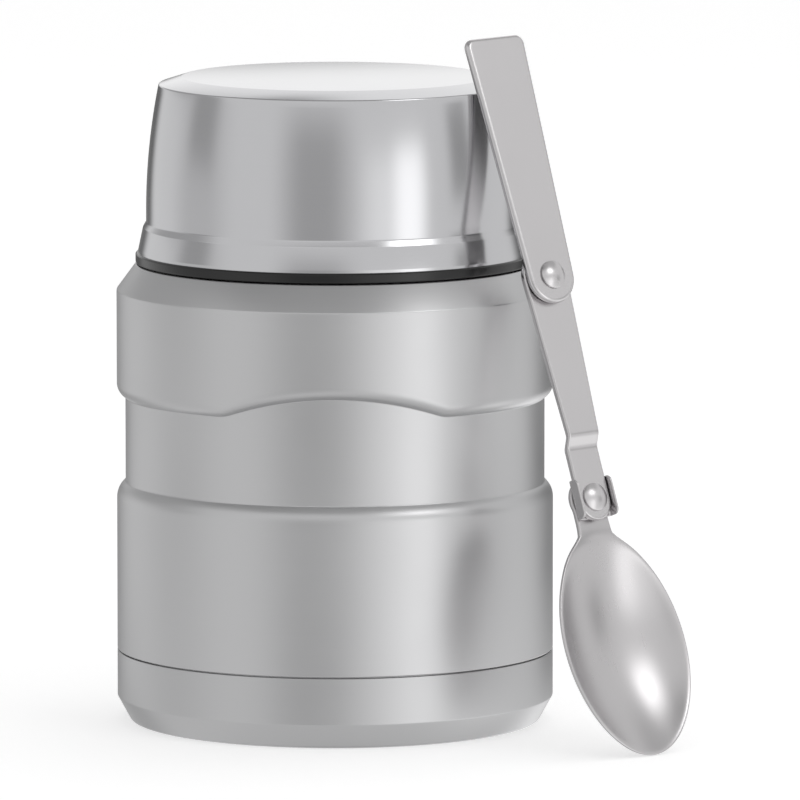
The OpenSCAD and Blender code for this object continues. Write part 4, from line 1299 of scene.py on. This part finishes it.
class FOODJAR_OT_rivets(bpy.types.Operator):
    """Makes the two rivets with their domed heads, and the washers under the moving sheets"""

    bl_idname = "foodjar.rivets"
    bl_label = "Rivets and Washers"

    def execute(self, context):
        s = all_sizes(context)[3]
        front, back = s.tab_y, s.tang_y + s.tang_t + s.run_gap
        span = back - front
        upper_front = s.handle_y - s.run_gap
        # A head is a low straight foot with a dome on it; the rear one is flatter and smaller.
        foot, back_h, back_r = 0.3 * s.head_h, 0.6, s.head_r - 0.4
        back_dome = back_h * 0.7
        dome = bend_radius(s.head_h - foot, s.head_r)
        low = math.degrees(math.asin((dome - s.head_h + foot) / dome))
        tail = bend_radius(back_dome, back_r)
        tail_low = math.degrees(math.asin((tail - back_dome) / tail))
        head = [(x, -z) for x, z in bow((0, s.head_h - dome), dome, 90, low, 12)]
        rear = bow((0, span + back_h - tail), tail, tail_low, 90, 8)
        profile = [
            *head[:-1], (*head[-1], 0.12), (s.head_r, 0, 0.12), (s.rivet_r, 0), (s.rivet_r, span),
            (back_r, span, 0.08), (*rear[0], 0.08), *rear[1:],
        ]
        pair = turned("spoon_rivets", fillet(profile, closed=False), closed=False, around=72, sharp=45)
        marks = pair.data.attributes.new("back", "FLOAT", "POINT")
        for vertex, mark in zip(pair.data.vertices, marks.data):
            mark.value = 1.0 if vertex.co.z > 0.5 * span * MM else 0.0
        pair.data.transform(
            Matrix.Translation((0, front * MM, 0)) @ Matrix.Rotation(-math.pi / 2, 4, "X")
        )
        finish = finish_named(context, "Rivet steel")
        apply_rule(pair, rivet_rule(), spacing=s.link_l * MM, forward=(front - upper_front) * MM,
                   longer=(s.link_t - upper_front - span) * MM, material=finish)
        placed(pair, s.place)
        finished(pair, finish, "spoon_middle", "rivet_steel", "handle_rivet", "bowl_rivet")
        washers = (
            ("handle_washer_disc", s.hinge_w / 2 - 1, -s.washer_t, s.link_l, "handle_washer"),
            ("bowl_washer_disc", s.tab_w / 2, s.saddle_y + s.saddle_t, 0, "bowl_washer"),
        )
        for name, radius, depth, z, node in washers:
            ring = [(s.rivet_r + 0.02, 0), (radius, 0, 0.08), (radius, s.washer_t, 0.08),
                    (s.rivet_r + 0.02, s.washer_t)]
            disc = turned(name, fillet(ring), around=72, sharp=50)
            disc.data.transform(
                Matrix.Translation((0, depth * MM, z * MM)) @ Matrix.Rotation(-math.pi / 2, 4, "X")
            )
            placed(disc, s.place)
            finished(disc, finish_named(context, "Mill finish steel"), "spoon_middle", "washer_steel", node)
        return {"FINISHED"}


# ------------------------------------------------------------------ studio


MIDDLE_Z = 0.07  # height that the lamps and the dome are centred on
PALE = 0.8
FLOOR_HALF = 6.0
FLOOR_GLOW = 0.47
ROOM_LIGHT, ROOM_SEEN = 0.6, 1.0  # what the white room lights the jar with, and how bright it looks
CAMERA_PLACE = (0.014, -2.431, 0.372)
CAMERA_DOWN = 7.1  # degrees that it looks down by
CAMERA_LENS = 511.65

# Dark patches at the sides shape the round walls, the strip at the right makes their
# highlight, and the patches above keep the shoulder and the rounded edges calm. A later
# patch covers the ones before it.
DOME_LEVEL = 0.85
DOME_PATCHES = (
    # direction, half width, elevation, half height, softness, brightness
    # Behind, high up and overhead.
    (180, 22, 30, 22, 20, 1.12),
    (-60, 107, 64, 12, 20, 0.36),
    (-124, 26, 32, 14, 22, 0.48),
    (104, 34, 58, 12, 20, 0.58),
    (0, 180, 86, 12, 20, 0.48),
    # Two darker strips, and the wide and the narrow part of the highlight.
    (-11, 6, -12, 24, 24, 0.5),
    (-90, 6, -12, 24, 24, 0.68),
    (36, 8, -12, 18, 18, 1.14),
    (46, 3, -10, 18, 12, 1.68),
    # Dark spots behind.
    (148, 10, 2, 12, 14, 0.12),
    (-164, 10, -6, 10, 14, 0.15),
    (180, 14, -12, 8, 12, 0.25),
    (120, 8, -46, 8, 12, 0.42),
    (-148, 14, -28, 10, 14, 0.45),
    # Small dark spots at both sides.
    (83, 4, 8, 5, 8, 0.42),
    (-90, 5, 13, 5, 12, 0.45),
    # Low lights, and a small bright one above the highlight.
    (168, 24, -33, 9, 14, 1.5),
    (89, 21, -32, 8, 12, 1.2),
    (53, 7, 41, 5, 14, 3.1),
    # The ground, darkest straight below.
    (0, 180, -72, 16, 14, 0.7),
    (0, 180, -88, 6, 14, 0.35),
)


def seen_rays(tree):
    """One for rays from the lens, off a mirror or through glass, and nothing for lighting rays."""
    path = add(tree, "ShaderNodeLightPath").outputs
    bounced = add(tree, MATH, (path["Is Glossy Ray"], path["Is Transmission Ray"]), operation="ADD")
    seen = add(tree, MATH, (path["Is Camera Ray"], bounced), operation="ADD")
    return add(tree, MATH, (seen, 1.0), operation="MINIMUM")


def stage_material(name, colour, glow):
    """A plain studio surface that gives its glow to lens, mirror and glass rays only."""
    made, tree, shader, _ = material(name)
    shader.inputs["Base Color"].default_value = (*colour, 1)
    shader.inputs["Roughness"].default_value = 0.9
    shader.inputs["Emission Color"].default_value = (1, 1, 1, 1)
    strength = add(tree, MATH, (seen_rays(tree), glow), operation="MULTIPLY")
    tree.links.new(strength.outputs[0], shader.inputs["Emission Strength"])
    return made


def reflection_dome(base, patches, radius=0.85, step=2):
    """A sphere round the object that only mirror rays see, with soft-edged patches of light.

    A patch is (direction, half width, elevation, half height, softness, brightness), in degrees:
    direction 0 is the camera's side and turns to its right.
    """
    columns, rows = 360 // step, 180 // step
    points, faces, levels = [], [], []
    for r in range(rows + 1):
        lift = -90 + r * step
        for c in range(columns):
            way = c * step - 180
            a, e = math.radians(way), math.radians(lift)
            points.append((radius * math.sin(a) * math.cos(e), -radius * math.cos(a) * math.cos(e),
                           radius * math.sin(e) + MIDDLE_Z))
            level = base
            for centre, half_w, middle, half_h, soft, bright in patches:
                across = abs((way - centre + 180) % 360 - 180) - half_w
                up = abs(lift - middle) - half_h
                share = eased(1 - across / soft) * eased(1 - up / (0.5 * soft))
                level += (bright - level) * share
            levels.append(level)
    for r in range(rows):
        for c in range(columns):
            n = (c + 1) % columns
            faces.append((r * columns + c, r * columns + n, (r + 1) * columns + n, (r + 1) * columns + c))
    mesh = bpy.data.meshes.new("reflection_dome")
    mesh.from_pydata(points, [], faces)
    mesh.attributes.new("level", "FLOAT", "POINT").data.foreach_set("value", levels)
    dome = bpy.data.objects.new("reflection_dome", mesh)
    bpy.context.scene.collection.objects.link(dome)
    made = bpy.data.materials.new("Studio reflections")
    made.use_nodes = True
    made.cycles.emission_sampling = "NONE"
    tree = made.node_tree
    tree.nodes.clear()
    level = add(tree, "ShaderNodeAttribute", attribute_name="level").outputs["Fac"]
    glow = add(tree, "ShaderNodeEmission", {"Strength": level})
    add(tree, "ShaderNodeOutputMaterial", {"Surface": glow})
    mesh.materials.append(made)
    for kind in ("camera", "diffuse", "transmission", "volume_scatter", "shadow"):
        setattr(dome, "visible_" + kind, False)


def eased(share):
    """A share from 0 to 1, eased at both ends."""
    share = min(max(share, 0), 1)
    return share * share * (3 - 2 * share)


def lamp(name, turn_deg, lift_deg, distance, width, height, power):
    """A soft box aimed at the jar from a direction and an elevation."""
    light = bpy.data.lights.new(name, "AREA")
    light.shape, light.size, light.size_y, light.energy = "RECTANGLE", width, height, power
    box = bpy.data.objects.new(name, light)
    bpy.context.scene.collection.objects.link(box)
    a, e = math.radians(turn_deg), math.radians(lift_deg)
    away = Vector((math.sin(a) * math.cos(e), -math.cos(a) * math.cos(e), math.sin(e)))
    box.location = Vector((0, 0, MIDDLE_Z)) + away * distance
    box.rotation_euler = away.to_track_quat("Z", "Y").to_euler()
    box.visible_camera = False
    box.visible_glossy = False
    return box


class FOODJAR_OT_stage(bpy.types.Operator):
    """Makes the floor, the soft lights, the white room and the camera"""

    bl_idname = "foodjar.stage"
    bl_label = "Studio"

    def execute(self, context):
        scene = context.scene
        half = FLOOR_HALF
        floor = bpy.data.meshes.new("studio_floor")
        floor.from_pydata([(-half, -half, 0), (half, -half, 0), (half, half, 0), (-half, half, 0)],
                          [], [(0, 1, 2, 3)])
        ground = bpy.data.objects.new("studio_floor", floor)
        scene.collection.objects.link(ground)
        floor.materials.append(stage_material("Studio floor", (PALE, PALE, PALE), FLOOR_GLOW))
        ground.visible_glossy = False

        world = bpy.data.worlds.new("White room")
        scene.world = world
        world.use_nodes = True
        tree = world.node_tree
        strength = add(tree, MATH, (seen_rays(tree), ROOM_SEEN - ROOM_LIGHT, ROOM_LIGHT),
                       operation="MULTIPLY_ADD")
        backdrop = tree.nodes["Background"]
        backdrop.inputs["Color"].default_value = (1, 1, 1, 1)
        tree.links.new(strength.outputs[0], backdrop.inputs["Strength"])

        reflection_dome(DOME_LEVEL, DOME_PATCHES)
        lamp("key_box", turn_deg=45, lift_deg=30, distance=1.0, width=0.5, height=0.7, power=0.8)
        lamp("overhead_box", turn_deg=150, lift_deg=62, distance=1.1, width=1.0, height=0.8, power=1.6)

        camera = bpy.data.objects.new("camera", bpy.data.cameras.new("camera"))
        scene.collection.objects.link(camera)
        camera.location = CAMERA_PLACE
        camera.rotation_euler = (math.radians(90 - CAMERA_DOWN), 0, 0)
        camera.data.lens = CAMERA_LENS
        camera.data.clip_end = 30
        scene.camera = camera
        scene.view_settings.view_transform = "Standard"
        return {"FINISHED"}


class FOODJAR_PT_panel(bpy.types.Panel):
    """Sidebar panel that lists the jar's pieces and their sizes"""

    bl_idname = "FOODJAR_PT_panel"
    bl_label = "Food Jar"
    bl_space_type = "VIEW_3D"
    bl_region_type = "UI"
    bl_category = "Food Jar"

    def draw(self, context):
        layout = self.layout
        for operator in OPERATORS:
            layout.operator(operator.bl_idname)
        settings = context.scene.food_jar
        for part in ("body", "stopper", "lid", "spoon", "finish"):
            group = getattr(settings, part)
            box = layout.box()
            box.label(text=settings.bl_rna.properties[part].name)
            for key in group.__annotations__:
                box.prop(group, key)


OPERATORS = (
    FOODJAR_OT_shell, FOODJAR_OT_base, FOODJAR_OT_vessel, FOODJAR_OT_hidden, FOODJAR_OT_stopper,
    FOODJAR_OT_cap, FOODJAR_OT_lid, FOODJAR_OT_threads, FOODJAR_OT_handle, FOODJAR_OT_link,
    FOODJAR_OT_saddle, FOODJAR_OT_bowl, FOODJAR_OT_rivets, FOODJAR_OT_stage,
)
GROUPS = (
    FoodJarBody, FoodJarStopper, FoodJarLid, FoodJarSpoon, FoodJarFinish, FoodJarSettings,
)


def register():
    for item in GROUPS + OPERATORS + (FOODJAR_PT_panel,):
        bpy.utils.register_class(item)
    bpy.types.Scene.food_jar = bpy.props.PointerProperty(
        type=FoodJarSettings, name="Food Jar", description="Sizes and colours of the food jar"
    )


def unregister():
    del bpy.types.Scene.food_jar
    for item in reversed(GROUPS + OPERATORS + (FOODJAR_PT_panel,)):
        bpy.utils.unregister_class(item)


def main():
    register()
    for operator in OPERATORS:
        group, name = operator.bl_idname.split(".")
        getattr(getattr(bpy.ops, group), name)()


if __name__ == "__main__":
    main()
